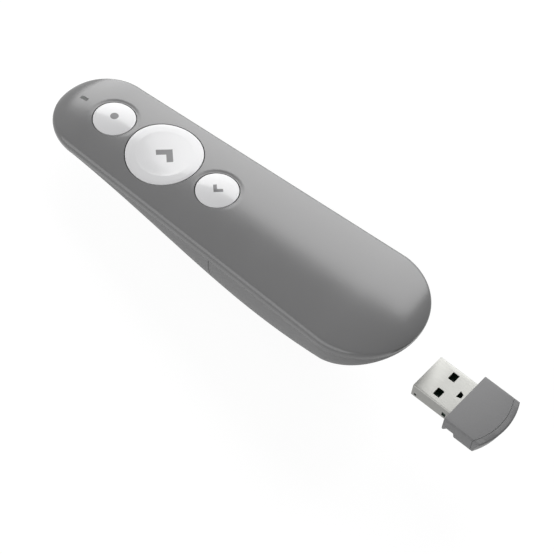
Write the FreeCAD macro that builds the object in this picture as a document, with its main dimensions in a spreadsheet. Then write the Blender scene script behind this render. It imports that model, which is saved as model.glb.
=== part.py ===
import FreeCAD, Part
import math
import os
import Sketcher

# A hand-held presentation clicker with its plug-in receiver.
#
# The handset is a pebble 123 mm long: wide and deep at the tail, narrow and thin at the head.
# It is built level with its receiver bay: x to the right of the person who points it,
# y from the tip of the tail towards the head, z up from the top face of the plug.
# REST then lays it on the table, nose a little down, as it settles on its belly:
# the origin is the middle of the flat patch under the belly, z up, y towards the head.

Vector = FreeCAD.Vector
doc = FreeCAD.newDocument("Clicker")

# Driving dimensions, in millimetres and degrees.
SIZES = {
    # the pebble
    "body_length": 123.4,
    "tail_radius": 18.4,
    "head_radius": 14.45,
    "edge_radius": 1.6,
    "crown_angle": 13.0,
    "deck_slope": 3.2,
    "rim_at_tail": 9.75,
    "wall": 1.3,
    "parting_drop": 1.2,
    "seam_gap": 0.2,
    "cover_length": 56.1,
    "rest_tilt": 5.0,
    "rest_along": 54.0,
    "patch_depth": 0.45,
    # clearances
    "run_gap": 0.3,
    "fit_gap": 0.1,
    "overrun": 40.0,
    # keys
    "next_along": 87.1,
    "laser_land": 2.25,
    "back_land": 2.75,
    "next_radius": 10.5,
    "small_radius": 5.75,
    "key_gap": 0.25,
    "key_proud": 0.35,
    "key_travel": 0.35,
    "key_skin": 1.0,
    "key_side": 0.9,
    "key_depth": 2.25,
    "dish_depth": 0.85,
    "dish_land": 0.9,
    "dome_rise": 0.55,
    "stem_radius": 1.3,
    "stem_length": 2.9,
    "ear_width": 4.0,
    "ear_reach": 0.8,
    "sink_width": 1.0,
    "sink_depth": 0.5,
    # board and what it carries
    "board_thickness": 0.7,
    "board_start": 61.0,
    "board_step": 93.0,
    "board_end": 118.0,
    "board_width": 18.0,
    "board_neck": 11.2,
    "switch_size": 4.5,
    "switch_body": 0.55,
    "plunger_radius": 0.9,
    "plunger_rise": 0.25,
    "rear_pin_along": 75.6,
    "rear_pin_margin": 1.4,
    "front_pin_along": 98.6,
    "front_pin_margin": 1.2,
    "pin_post_radius": 1.1,
    "pin_radius": 0.7,
    "pin_tail": 0.4,
    "chip_size": 5.0,
    "chip_height": 0.9,
    "chip_along": 91.0,
    "crystal_width": 2.5,
    "crystal_length": 3.2,
    "crystal_height": 0.7,
    "crystal_along": 85.6,
    # status light
    "slot_along": 116.85,
    "slot_length": 2.45,
    "slot_width": 1.1,
    "led_height": 0.6,
    # laser
    "barrel_radius": 2.0,
    "barrel_start": 96.0,
    "barrel_end": 108.5,
    "barrel_bore": 1.3,
    "barrel_clear": 0.2,
    "lens_length": 1.2,
    "window_radius": 1.25,
    "window_start": 119.2,
    # cells and their contacts
    "cell_radius": 5.15,
    "cell_length": 44.5,
    "cell_nub_radius": 1.9,
    "cell_nub_length": 0.9,
    "cell_spacing": 0.6,
    "cell_clear": 0.15,
    "cell_round": 0.5,
    "spring_wire": 0.45,
    "spring_length": 2.4,
    "spring_turns": 3.0,
    "spring_radius": 2.9,
    "contact_thickness": 0.3,
    "contact_width": 7.4,
    "contact_height": 6.4,
    "cradle_wall": 1.1,
    "rail_height": 2.6,
    # screws
    "screw_radius": 0.95,
    "screw_length": 6.5,
    "screw_head_radius": 1.7,
    "screw_head_height": 1.0,
    "screw_socket_radius": 0.75,
    "screw_socket_depth": 0.6,
    "post_radius": 2.0,
    "case_screw_along": 98.0,
    "case_post_clear": 0.6,
    "case_seat_level": -2.2,
    "case_joint_level": 0.2,
    "tray_screw_along": 27.0,
    "tray_screw_across": 5.5,
    # receiver
    "plug_width": 12.0,
    "plug_height": 4.5,
    "plug_length": 12.0,
    "plug_skin": 0.3,
    "plug_corner": 0.6,
    "plug_root": 2.5,
    "window_low": 5.3,
    "window_high": 7.2,
    "window_near": 1.95,
    "window_far": 4.4,
    "latch_low": 10.3,
    "latch_high": 11.4,
    "latch_half": 1.2,
    "tongue_height": 1.9,
    "pin_strip_width": 1.0,
    "pin_strip_length": 7.5,
    "pin_strip_height": 0.15,
    "housing_width": 17.8,
    "housing_height": 6.1,
    "housing_length": 13.6,
    "housing_top_round": 1.0,
    "housing_foot_round": 2.0,
    "housing_skin": 1.0,
    "end_radius": 19.5,
    "end_thickness": 1.65,
    "groove_width": 0.3,
    "notch_start": 0.9,
    "notch_length": 2.9,
    "notch_depth": 0.7,
    "receiver_board": 0.8,
    "dock_apex": 6.3,
    "receiver_travel": 37.4,
    "bay_gap": 0.35,
}

# Depth of the belly below the rim, as shares of the half width, at the quarter stations.
DEPTH_SHARES = (0.58, 1.278, 1.246, 0.745, 0.50)

sheet = doc.addObject("Spreadsheet::Sheet", "Sizes")


class Dim:
    """A size that carries both its value and the formula that a property is bound to."""

    def __init__(self, number, text):
        self.number = number
        self.text = text

    def join(self, other, sign, number):
        text = other.text if isinstance(other, Dim) else repr(other)
        return Dim(number, f"({self.text} {sign} {text})")

    def __add__(self, other):
        return self.join(other, "+", self.number + plain(other))

    def __sub__(self, other):
        return self.join(other, "-", self.number - plain(other))

    def __mul__(self, other):
        return self.join(other, "*", self.number * plain(other))

    def __truediv__(self, other):
        return self.join(other, "/", self.number / plain(other))

    def __neg__(self):
        return Dim(-self.number, f"(-{self.text})")

    def __rsub__(self, other):
        return Dim(other - self.number, f"({other!r} - {self.text})")


def plain(value):
    """The number behind a Dim, or the number itself."""
    return value.number if isinstance(value, Dim) else value


def formula(value):
    """The text that binds a property to a Dim or to zero."""
    return value.text if isinstance(value, Dim) else repr(value)


class Dims:
    """Every cell of the sheet by its name."""


mm = Dims()


def add_size(name, number):
    """Write one cell of the sheet and keep it as a Dim."""
    row = len(vars(mm)) + 1
    sheet.set(f"A{row}", name)
    sheet.set(f"B{row}", str(number))
    sheet.setAlias(f"B{row}", name)
    setattr(mm, name, Dim(number, f"Sizes.{name}"))


for size_name, size_value in SIZES.items():
    add_size(size_name, size_value)


# The pebble

STATIONS_PER_END = 7
STATIONS_BETWEEN = 11
CROWN_STEPS = 8
EDGE_STEPS = 6
BELLY_STEPS = 16
TOUCHING = 1e-6


def plan_outline(inset):
    """Stations along half of the plan outline: path length, half width, place and belt radius.

    The outline is a belt round two circles. An inset outline has both circles that much smaller.
    """
    tail = mm.tail_radius.number - inset
    head = mm.head_radius.number - inset
    tail_centre = mm.tail_radius.number
    head_centre = mm.body_length.number - mm.head_radius.number
    lean = math.asin((tail - head) / (head_centre - tail_centre))
    tail_turn = math.pi / 2 - lean
    head_turn = math.pi / 2 + lean
    straight = (head_centre - tail_centre) * math.cos(lean)
    points = []
    for i in range(STATIONS_PER_END + 1):
        turn = tail_turn * i / STATIONS_PER_END
        points.append((tail * turn, tail * math.sin(turn), tail_centre - tail * math.cos(turn), tail))
    for i in range(1, STATIONS_BETWEEN):
        part = i / STATIONS_BETWEEN
        radius = tail + (head - tail) * part
        centre = tail_centre + (head_centre - tail_centre) * part
        place = centre - radius * math.cos(tail_turn)
        points.append((tail * tail_turn + straight * part, radius * math.cos(lean), place, radius))
    for i in range(STATIONS_PER_END + 1):
        turn = head_turn * (1 - i / STATIONS_PER_END)
        path = tail * tail_turn + straight + head * (head_turn - turn)
        points.append((path, head * math.sin(turn), head_centre + head * math.cos(turn), head))
    return points


def depth_share(part):
    """Depth of the belly over its half width: a smooth curve through the quarter stations."""
    count = len(DEPTH_SHARES)
    total = 0.0
    for i, share in enumerate(DEPTH_SHARES):
        for j in range(count):
            if j != i:
                share *= (part * (count - 1) - j) / (i - j)
        total += share
    return total


def rim_level(along):
    """Height of the widest line of the pebble."""
    return mm.rim_at_tail.number - math.tan(math.radians(mm.deck_slope.number)) * along


def section(half, along, belt, inset):
    """Points of one cross section: crown, right edge and belly."""
    crown_angle = math.radians(mm.crown_angle.number)
    edge = mm.edge_radius.number
    radius = max(edge - inset, edge / 8) * half / belt
    share = depth_share(along / mm.body_length.number)
    depth = (share * (belt + inset) - inset) / belt * half
    rim = rim_level(along)
    side = half - radius + radius * math.sin(crown_angle)
    top = rim + radius * math.cos(crown_angle)
    rise = side * math.tan(crown_angle) / 2
    crown = []
    for i in range(CROWN_STEPS + 1):
        across = 2 * i / CROWN_STEPS - 1
        crown.append(Vector(side * across, along, top + rise * (1 - across ** 2)))
    right = []
    for i in range(EDGE_STEPS + 1):
        turn = crown_angle + (math.pi / 2 - crown_angle) * i / EDGE_STEPS
        right.append(Vector(half - radius + radius * math.sin(turn), along, rim + radius * math.cos(turn)))
    belly = []
    for i in range(BELLY_STEPS + 1):
        turn = math.pi * i / BELLY_STEPS
        belly.append(Vector(half * math.cos(turn), along, rim - depth * math.sin(turn)))
    return crown, right, belly


def spread(count):
    """Evenly spaced parameters from 0 to 1."""
    return [i / count for i in range(count + 1)]


def through(points, parameters):
    """A curve through the points at the given parameters."""
    curve = Part.BSplineCurve()
    curve.interpolate(Points=points, Parameters=parameters)
    return curve


def strip(sections, paths):
    """A face through the sections: its sides meet the next strip's exactly, its ends are points."""
    rows = [through([points[i] for points in sections], paths) for i in range(len(sections[0]))]
    across = spread(len(rows) - 1)
    middle = through([row.getPole(row.NbPoles // 2) for row in rows], across)
    poles = []
    for i in range(1, rows[0].NbPoles + 1):
        ring = [row.getPole(i) for row in rows]
        if ring[0].isEqual(ring[len(ring) // 2], TOUCHING):
            poles.append([ring[0]] * middle.NbPoles)
        else:
            poles.append(through(ring, across).getPoles())
    surface = Part.BSplineSurface()
    surface.buildFromPolesMultsKnots(
        [[ring[i] for ring in poles] for i in range(middle.NbPoles)],
        middle.getMultiplicities(), rows[0].getMultiplicities(),
        middle.getKnots(), rows[0].getKnots(),
        False, False, middle.Degree, rows[0].Degree)
    return surface.toShape()


def mirrored(points):
    """The same points on the left side."""
    return [Vector(-point.x, point.y, point.z) for point in points]


def pebble(name, inset=0.0):
    """The pebble, or a smaller one inside it, as a solid."""
    outline = plan_outline(inset)
    paths = [station[0] for station in outline]
    cuts = [section(half, along, belt, inset) for path, half, along, belt in outline]
    crowns = [cut[0] for cut in cuts]
    rights = [cut[1] for cut in cuts]
    lefts = [mirrored(cut[1]) for cut in cuts]
    bellies = [cut[2] for cut in cuts]
    shell = Part.makeShell([strip(points, paths) for points in (crowns, rights, lefts, bellies)])
    shell.sewShape()
    solid = Part.makeSolid(Part.Shell(shell.Faces))
    if solid.Volume < 0:
        solid.reverse()
    feature = doc.addObject("Part::Feature", name)
    feature.Shape = solid
    return feature


def belt_half_width(along):
    """Half width of the pebble's straight-sided stretch."""
    tail = mm.tail_radius.number
    head = mm.head_radius.number
    between = mm.body_length.number - head - tail
    lean = math.asin((tail - head) / between)
    return tail / math.cos(lean) - (along - tail) * math.tan(lean)


def crown_level(along):
    """Height of the pebble's top line on its straight-sided stretch."""
    angle = math.radians(mm.crown_angle.number)
    edge = mm.edge_radius.number
    side = belt_half_width(along) - edge + edge * math.sin(angle)
    return rim_level(along) + edge * math.cos(angle) + side * math.tan(angle) / 2


def belly_level(along):
    """Height of the pebble's lowest line on its straight-sided stretch."""
    return rim_level(along) - depth_share(along / mm.body_length.number) * belt_half_width(along)


# Cells that follow from other cells: the small keys stand clear of the large one by a strip of deck.
between_keys = mm.next_radius + mm.small_radius
add_size("laser_along", plain(mm.next_along + between_keys + mm.laser_land))
add_size("back_along", plain(mm.next_along - between_keys - mm.back_land))
add_size("rear_pin_across", plain(mm.board_width / 2 - mm.rear_pin_margin))
add_size("front_pin_across", plain(mm.board_neck / 2 - mm.front_pin_margin))
add_size("case_screw_across", plain(mm.board_neck / 2 + mm.post_radius + mm.case_post_clear))
add_size("cell_across", plain(mm.cell_radius + mm.cell_spacing / 2))

# Cells that follow from the pebble's own formula.
for key_name in ("laser", "next", "back"):
    add_size(f"{key_name}_level", crown_level(getattr(mm, f"{key_name}_along").number))
add_size("slot_level", crown_level(mm.slot_along.number))
deck_run = mm.laser_along.number - mm.back_along.number
deck_fall = mm.back_level.number - mm.laser_level.number
add_size("crown_slope", math.degrees(math.atan(deck_fall / deck_run)))
end_radius, end_half = mm.end_radius.number, mm.housing_width.number / 2
add_size("end_bulge", end_radius - math.sqrt(end_radius ** 2 - end_half ** 2))
add_size("rest_level", belly_level(mm.rest_along.number) + mm.patch_depth.number)


# Places

X_AXIS = "1, 0, 0"
Z_AXIS = "0, 0, 1"

# Turns about x that point a round piece's own z towards the head or towards the tail.
FORWARDS = Dim(-90, "-90")
BACKWARDS = Dim(90, "90")


def place(x, y, z, axis=Z_AXIS, angle=0):
    """A placement as a formula."""
    spot = f"vector({formula(x)}, {formula(y)}, {formula(z)})"
    return f"placement({spot}, rotation(vector({axis}), {formula(angle)}))"


REST = place(0, 0, 0, X_AXIS, -mm.rest_tilt) + " * " + place(0, -mm.rest_along, -mm.rest_level)


def deck(along, level):
    """A frame on the top line: y along the crown, z square to it."""
    return place(0, along, level, X_AXIS, -mm.crown_slope)


LASER_DECK = deck(mm.laser_along, mm.laser_level)
NEXT_DECK = deck(mm.next_along, mm.next_level)
BACK_DECK = deck(mm.back_along, mm.back_level)
SLOT_DECK = deck(mm.slot_along, mm.slot_level)

nodes = []


def node(thing, label, where=""):
    """Name a finished piece and lay it, with the whole handset, on the table."""
    thing.Label = label
    thing.setExpression("Placement", f"{REST} * {where}" if where else REST)
    nodes.append(thing)
    return thing


# Building blocks

def box(name, x, y, z, where=""):
    """A block between two limits along each axis."""
    block = doc.addObject("Part::Box", name)
    for side, limits in (("Length", x), ("Width", y), ("Height", z)):
        block.setExpression(side, f"{formula(limits[1])} - {formula(limits[0])}")
    corner = place(x[0], y[0], z[0])
    block.setExpression("Placement", f"{where} * {corner}" if where else corner)
    return block


def rod(name, radius, length, where):
    """A cylinder from the origin of its place along the place's z."""
    solid = doc.addObject("Part::Cylinder", name)
    solid.setExpression("Radius", formula(radius))
    solid.setExpression("Height", formula(length))
    solid.setExpression("Placement", where)
    return solid


def cone(name, bottom, top, height, where):
    """A cone frustum from the origin of its place along the place's z."""
    solid = doc.addObject("Part::Cone", name)
    solid.setExpression("Radius1", formula(bottom))
    solid.setExpression("Radius2", formula(top))
    solid.setExpression("Height", formula(height))
    solid.setExpression("Placement", where)
    return solid


def joined(name, parts):
    """One solid from several."""
    if len(parts) == 1:
        return parts[0]
    union = doc.addObject("Part::MultiFuse", name)
    union.Shapes = parts
    return union


def cut(name, base, tools):
    """A solid with others taken out of it."""
    rest = doc.addObject("Part::Cut", name)
    rest.Base = base
    rest.Tool = joined(name + "Tools", tools)
    return rest


def shared(name, first, second):
    """What two solids have in common."""
    both = doc.addObject("Part::Common", name)
    both.Base = first
    both.Tool = second
    return both


def group(name, parts):
    """Identical pieces as one node."""
    together = doc.addObject("Part::Compound", name)
    together.Links = parts
    return together


def origin_plane(body, role):
    """One of a body's own planes."""
    return next(item for item in body.Origin.OriginFeatures if item.Role == role)


def sketch_on(body, role, name):
    """An empty sketch on one of a body's own planes."""
    sketch = body.newObject("Sketcher::SketchObject", name)
    sketch.AttachmentSupport = (origin_plane(body, role), [""])
    sketch.MapMode = "FlatFace"
    return sketch


def pin_point(sketch, curve, end, x, y):
    """Hold one end of a curve at a place that the sheet gives."""
    for kind, axis, value in (("DistanceX", -2, x), ("DistanceY", -1, y)):
        if plain(value) == 0:
            sketch.addConstraint(Sketcher.Constraint("PointOnObject", curve, end, axis))
        else:
            held = Sketcher.Constraint(kind, -1, 1, curve, end, plain(value))
            index = sketch.addConstraint(held)
            sketch.setExpression(f"Constraints[{index}]", formula(value))


def draw(sketch, corners, bows=()):
    """A closed outline through the corners. A side in bows is an arc centred on the sketch's y axis."""
    count = len(corners)
    spots = [Vector(plain(x), plain(y), 0) for x, y in corners]
    flipped = []
    for i in range(count):
        start, end = spots[i], spots[(i + 1) % count]
        if i not in bows:
            sketch.addGeometry(Part.LineSegment(start, end))
            continue
        rise = (start.x ** 2 - end.x ** 2 + start.y ** 2 - end.y ** 2) / (2 * (start.y - end.y))
        centre = Vector(0, rise, 0)
        angles = [math.atan2(spot.y - rise, spot.x) for spot in (start, end)]
        if angles[0] > angles[1]:
            flipped.append(i)
        circle = Part.Circle(centre, Vector(0, 0, 1), (start - centre).Length)
        sketch.addGeometry(Part.ArcOfCircle(circle, min(angles), max(angles)))
        sketch.addConstraint(Sketcher.Constraint("PointOnObject", i, 3, -2))
    for i in range(count):
        before = (i - 1) % count
        first = 2 if i in flipped else 1
        last = 1 if before in flipped else 2
        sketch.addConstraint(Sketcher.Constraint("Coincident", before, last, i, first))
        pin_point(sketch, i, first, *corners[i])


def turned(name, corners, bows=()):
    """A body of revolution about z from an outline of radius and height."""
    body = doc.addObject("PartDesign::Body", name)
    sketch = sketch_on(body, "XZ_Plane", name + "Outline")
    draw(sketch, corners, bows)
    spin = body.newObject("PartDesign::Revolution", name + "Turn")
    spin.Profile = sketch
    spin.ReferenceAxis = (sketch, ["V_Axis"])
    spin.Angle = 360
    return body


def plate(name, corners, thickness, holes=(), bows=()):
    """A flat body: an outline with round holes, thickened upwards."""
    body = doc.addObject("PartDesign::Body", name)
    sketch = sketch_on(body, "XY_Plane", name + "Outline")
    draw(sketch, corners, bows)
    for x, y, radius in holes:
        hole = sketch.addGeometry(Part.Circle(Vector(plain(x), plain(y), 0), Vector(0, 0, 1), plain(radius)))
        pin_point(sketch, hole, 3, x, y)
        index = sketch.addConstraint(Sketcher.Constraint("Radius", hole, plain(radius)))
        sketch.setExpression(f"Constraints[{index}]", formula(radius))
    pad = body.newObject("PartDesign::Pad", name + "Pad")
    pad.Profile = sketch
    pad.setExpression("Length", formula(thickness))
    return body


def rounded(body, name, radius, wanted):
    """Round the edges of a body's last feature that the test picks."""
    tip = body.Tip
    tip.recompute(True)
    names = [f"Edge{i + 1}" for i, edge in enumerate(tip.Shape.Edges) if wanted(edge)]
    fillet = body.newObject("PartDesign::Fillet", name)
    fillet.Base = (tip, names)
    fillet.setExpression("Radius", formula(radius))
    return body


# Pebbles: the outside, the middle of the wall, the inside, and the room left for inner pieces

outside = pebble("Outside")
mid_wall = pebble("MidWall", mm.wall.number / 2)
hollow = pebble("Hollow", mm.wall.number)
room = pebble("Room", mm.wall.number + mm.run_gap.number)
skin = cut("Skin", outside, [hollow])

# Board levels, measured square to the deck from the top line.
board_top = -(mm.stem_length + mm.key_travel + mm.fit_gap + mm.plunger_rise + mm.switch_body)
board_bottom = board_top - mm.board_thickness


def underside(along):
    """Height of the board's underside at a station of the handset."""
    slope = math.radians(mm.crown_slope.number)
    run = mm.next_along.number - plain(along)
    return mm.next_level.number + run * math.tan(slope) + board_bottom.number / math.cos(slope)


add_size("barrel_level", underside(mm.barrel_end) - plain(mm.barrel_clear + mm.barrel_radius))


def board_place(along):
    """Place along the board of a station of the handset."""
    return along - mm.next_along


# Blocks that take away everything past a plane

def past_parting(name, side):
    """Everything above or below the sloping parting plane, and half the seam with it."""
    plane = place(0, 0, mm.rim_at_tail - mm.parting_drop, X_AXIS, -mm.deck_slope)
    limits = (-mm.seam_gap / 2, mm.overrun) if side > 0 else (-mm.overrun, mm.seam_gap / 2)
    return box(name, (-mm.overrun, mm.overrun), (-mm.overrun, mm.body_length + mm.overrun), limits, plane)


table = place(0, mm.rest_along, mm.rest_level, X_AXIS, mm.rest_tilt)
under_table = box("UnderTable", (-mm.overrun, mm.overrun), (-mm.overrun, mm.overrun), (-mm.overrun, 0), table)

# Keys

KEYS = {
    "laser": (LASER_DECK, mm.small_radius),
    "next": (NEXT_DECK, mm.next_radius),
    "back": (BACK_DECK, mm.small_radius),
}


def key_outline(radius, dished):
    """Half section of a key: a round cap with a skirt and a stem over its switch."""
    land = radius - mm.dish_land
    centre = mm.key_proud - mm.dish_depth if dished else mm.dome_rise
    under = mm.key_proud - mm.dish_depth - mm.key_skin if dished else -mm.key_skin
    inner = radius - mm.key_side
    outline = [(0, -mm.stem_length), (mm.stem_radius, -mm.stem_length), (mm.stem_radius, under)]
    outline += [(inner, under), (inner, -mm.key_depth), (radius, -mm.key_depth)]
    if dished:
        outline += [(radius, mm.key_proud), (land, mm.key_proud), (0, centre)]
        return outline, (7,)
    outline += [(radius, 0), (0, centre)]
    return outline, (6,)


for key_name, (frame, radius) in KEYS.items():
    corners, bows = key_outline(radius, key_name == "next")
    cap = turned(f"{key_name.title()}Cap", corners, bows)
    ear_top = -(mm.wall + mm.run_gap)
    reach = radius + mm.ear_reach
    bar = box(f"{key_name.title()}EarBar", (-mm.ear_width / 2, mm.ear_width / 2), (-reach, reach),
              (-mm.key_depth, ear_top))
    core = rod(f"{key_name.title()}EarCore", radius - mm.key_side / 2, mm.key_depth,
               place(0, 0, -mm.key_depth))
    ears = cut(f"{key_name.title()}Ears", bar, [core])
    node(joined(f"{key_name}_button", [cap, ears]), f"{key_name}_button", frame)

    half = mm.switch_size / 2
    base = box(f"{key_name.title()}SwitchBase", (-half, half), (-half, half), (0, mm.switch_body))
    plunger = rod(f"{key_name.title()}Plunger", mm.plunger_radius, mm.switch_body + mm.plunger_rise,
                  place(0, 0, 0))
    node(joined(f"{key_name}_switch", [base, plunger]), f"{key_name}_switch",
         f"{frame} * {place(0, 0, board_top)}")

# Shells

bores = []
for key_name, (frame, radius) in KEYS.items():
    title = key_name.title()
    bore = radius + mm.key_gap
    bores.append(rod(f"{title}Bore", bore, mm.overrun, f"{frame} * {place(0, 0, -mm.overrun / 2)}"))
    if key_name != "next":
        bores.append(cone(f"{title}Sink", bore, bore + mm.sink_width * 2, mm.sink_depth * 2,
                          f"{frame} * {place(0, 0, -mm.sink_depth)}"))
slot_half = mm.slot_width / 2
bores.append(box("LightSlot", (-slot_half, slot_half), (-mm.slot_length / 2, mm.slot_length / 2),
                 (-mm.overrun / 4, mm.overrun / 4), SLOT_DECK))

# The tray's screws sit in the roof of the receiver's bay, whose bosses meet the posts of the top shell.
housing_top = (mm.housing_height - mm.plug_height) / 2
bay_top = housing_top + mm.bay_gap
tray_seat = bay_top + mm.screw_head_height + mm.fit_gap
tray_top = tray_seat + mm.cradle_wall

posts = []
holes = []
pins = []
for side, side_name in ((1, "Right"), (-1, "Left")):
    across = mm.case_screw_across * side
    posts.append(rod(f"CasePost{side_name}", mm.post_radius, mm.overrun,
                     place(across, mm.case_screw_along, mm.case_joint_level)))
    holes.append(rod(f"CasePilot{side_name}", mm.screw_radius + mm.fit_gap / 2, mm.screw_length + mm.fit_gap,
                     place(across, mm.case_screw_along, mm.case_seat_level)))
    across = mm.tray_screw_across * side
    posts.append(rod(f"TrayPost{side_name}", mm.post_radius, mm.overrun,
                     place(across, mm.tray_screw_along, tray_top + mm.fit_gap)))
    holes.append(rod(f"TrayPilot{side_name}", mm.screw_radius + mm.fit_gap / 2, mm.screw_length + mm.fit_gap,
                     place(across, mm.tray_screw_along, tray_seat)))
    for end, along, off in (("Rear", mm.rear_pin_along, mm.rear_pin_across),
                            ("Front", mm.front_pin_along, mm.front_pin_across)):
        spot = f"{NEXT_DECK} * {place(off * side, board_place(along), board_top + mm.fit_gap)}"
        posts.append(rod(f"PinPost{end}{side_name}", mm.pin_post_radius, mm.overrun, spot))
        foot = f"{NEXT_DECK} * {place(off * side, board_place(along), board_bottom - mm.pin_tail)}"
        pins.append(rod(f"Pin{end}{side_name}", mm.pin_radius, -board_bottom, foot))

top_blank = cut("TopBlank", skin, [past_parting("BelowTop", -1)])
inner_posts = shared("InnerPosts", joined("AllPosts", posts), mid_wall)
top_solid = joined("TopSolid", [top_blank, inner_posts] + pins)
node(cut("top_shell", top_solid, bores + holes), "top_shell")

below = cut("BelowParting", skin, [past_parting("AboveBottom", 1), under_table])
seam = mm.seam_gap / 2
ahead = box("AheadOfSeam", (-mm.overrun, mm.overrun), (mm.cover_length - seam, mm.body_length + mm.overrun),
            (-mm.overrun, mm.overrun))
behind = box("BehindSeam", (-mm.overrun, mm.overrun), (-mm.overrun, mm.cover_length + seam),
             (-mm.overrun, mm.overrun))

bosses = []
sockets = []
for side, side_name in ((1, "Right"), (-1, "Left")):
    across = mm.case_screw_across * side
    bosses.append(rod(f"Boss{side_name}", mm.post_radius + mm.screw_head_height / 2,
                      mm.overrun + mm.case_joint_level - mm.fit_gap,
                      place(across, mm.case_screw_along, -mm.overrun)))
    sockets.append(rod(f"HeadWell{side_name}", mm.screw_head_radius + mm.fit_gap * 2, mm.overrun,
                       place(across, mm.case_screw_along, mm.case_seat_level - mm.overrun)))
    sockets.append(rod(f"ShankHole{side_name}", mm.screw_radius + mm.fit_gap, mm.screw_length,
                       place(across, mm.case_screw_along, mm.case_seat_level)))
inner_bosses = shared("InnerBosses", joined("AllBosses", bosses), mid_wall)
sockets.append(rod("Aperture", mm.window_radius + mm.fit_gap, mm.overrun,
                   place(0, mm.window_start - mm.lens_length, mm.barrel_level, X_AXIS, FORWARDS)))
front_half = cut("FrontHalf", below, [behind])
node(cut("bottom_shell", joined("FrontSolid", [front_half, inner_bosses]), sockets), "bottom_shell")

# Levels of the receiver, from the top face of its plug

housing_bottom = housing_top - mm.housing_height
bay_half = mm.housing_width / 2 + mm.bay_gap
bay_bottom = housing_bottom - mm.bay_gap
docked_tip = mm.dock_apex + mm.housing_length + mm.plug_length
bay_end = docked_tip + mm.bay_gap

mouth = box("Mouth", (-bay_half, bay_half), (-mm.overrun, bay_end), (bay_bottom, bay_top))
node(cut("battery_cover", cut("RearHalf", below, [ahead]), [mouth]), "battery_cover")

# Cradle: the receiver bay behind, two cells side by side in front of it

plate_back = bay_end + mm.cradle_wall
cells_start = plate_back + mm.fit_gap + mm.contact_thickness + mm.fit_gap
cells_end = cells_start + mm.cell_length + mm.spring_length
front_plate = cells_end + mm.fit_gap
front_wall = front_plate + mm.contact_thickness + mm.fit_gap
cells_clear = plain(mm.cell_clear + mm.cell_radius)
add_size("cell_level", underside(front_wall + mm.cradle_wall) - cells_clear)
wide = bay_half + mm.cradle_wall
rail_outer = mm.cell_across + mm.cell_radius + mm.cradle_wall
bay_block = box("BayBlock", (-wide, wide), (mm.dock_apex, plate_back),
                (bay_bottom - mm.cradle_wall, bay_top + mm.cradle_wall))
bay_space = box("BaySpace", (-bay_half, bay_half), (-mm.overrun, bay_end), (bay_bottom, bay_top))
tray_blocks = [bay_block]
for side, side_name in ((1, "Right"), (-1, "Left")):
    tray_blocks.append(rod(f"TrayBoss{side_name}", mm.screw_head_radius + mm.cradle_wall, tray_top - bay_top,
                           place(mm.tray_screw_across * side, mm.tray_screw_along, bay_top)))
rails = box("Rails", (-rail_outer, rail_outer), (bay_end, front_wall + mm.cradle_wall),
            (mm.cell_level - mm.rail_height / 2, mm.cell_level + mm.rail_height / 2))
end_wall = box("EndWall", (-rail_outer, rail_outer), (front_wall, front_wall + mm.cradle_wall),
               (mm.cell_level - mm.cell_radius, mm.cell_level + mm.cell_radius))
tray_blank = shared("TrayBlank", joined("TrayBlocks", tray_blocks + [rails, end_wall]), room)
cell_room = mm.cell_radius + mm.fit_gap
plate_room = box("PlateRoom", (-rail_outer + mm.cradle_wall, rail_outer - mm.cradle_wall),
                 (plate_back, cells_start), (-mm.overrun, mm.overrun))
tray_cuts = [bay_space, plate_room]
for side, side_name in ((1, "Right"), (-1, "Left")):
    tray_cuts.append(rod(f"CellRoom{side_name}", cell_room, front_wall - plate_back,
                         place(mm.cell_across * side, plate_back, mm.cell_level, X_AXIS, FORWARDS)))
    screw_spot = (mm.tray_screw_across * side, mm.tray_screw_along)
    tray_cuts.append(rod(f"TrayHole{side_name}", mm.screw_radius + mm.fit_gap, mm.overrun,
                         place(*screw_spot, 0)))
    tray_cuts.append(rod(f"TrayWell{side_name}", mm.screw_head_radius + mm.fit_gap * 2, mm.overrun,
                         place(*screw_spot, tray_seat - mm.overrun)))
node(cut("battery_cradle", tray_blank, tray_cuts), "battery_cradle")

# Screws

screw_corners = [
    (0, mm.screw_socket_depth - mm.screw_head_height),
    (mm.screw_socket_radius, mm.screw_socket_depth - mm.screw_head_height),
    (mm.screw_socket_radius, -mm.screw_head_height),
    (mm.screw_head_radius, -mm.screw_head_height),
    (mm.screw_head_radius, 0),
    (mm.screw_radius, 0),
    (mm.screw_radius, mm.screw_length),
    (0, mm.screw_length),
]
screws = []
for side, side_name in ((1, "Right"), (-1, "Left")):
    for end, across, along, level in (
            ("Case", mm.case_screw_across, mm.case_screw_along, mm.case_seat_level),
            ("Tray", mm.tray_screw_across, mm.tray_screw_along, tray_seat)):
        screw = turned(f"{end}Screw{side_name}", screw_corners)
        screw.setExpression("Placement", place(across * side, along, level))
        screws.append(screw)
node(group("case_screws", screws), "case_screws")

# Board, its parts and the status light

wide_half = mm.board_width / 2
neck_half = mm.board_neck / 2
board_corners = [
    (-wide_half, board_place(mm.board_start)),
    (wide_half, board_place(mm.board_start)),
    (wide_half, board_place(mm.board_step)),
    (neck_half, board_place(mm.board_step)),
    (neck_half, board_place(mm.board_end)),
    (-neck_half, board_place(mm.board_end)),
    (-neck_half, board_place(mm.board_step)),
    (-wide_half, board_place(mm.board_step)),
]
pin_holes = []
pin_hole_radius = mm.pin_radius + mm.fit_gap
for side in (1, -1):
    pin_holes.append((mm.rear_pin_across * side, board_place(mm.rear_pin_along), pin_hole_radius))
    pin_holes.append((mm.front_pin_across * side, board_place(mm.front_pin_along), pin_hole_radius))
node(plate("main_board", board_corners, mm.board_thickness, pin_holes), "main_board",
     f"{NEXT_DECK} * {place(0, 0, board_bottom)}")

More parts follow.
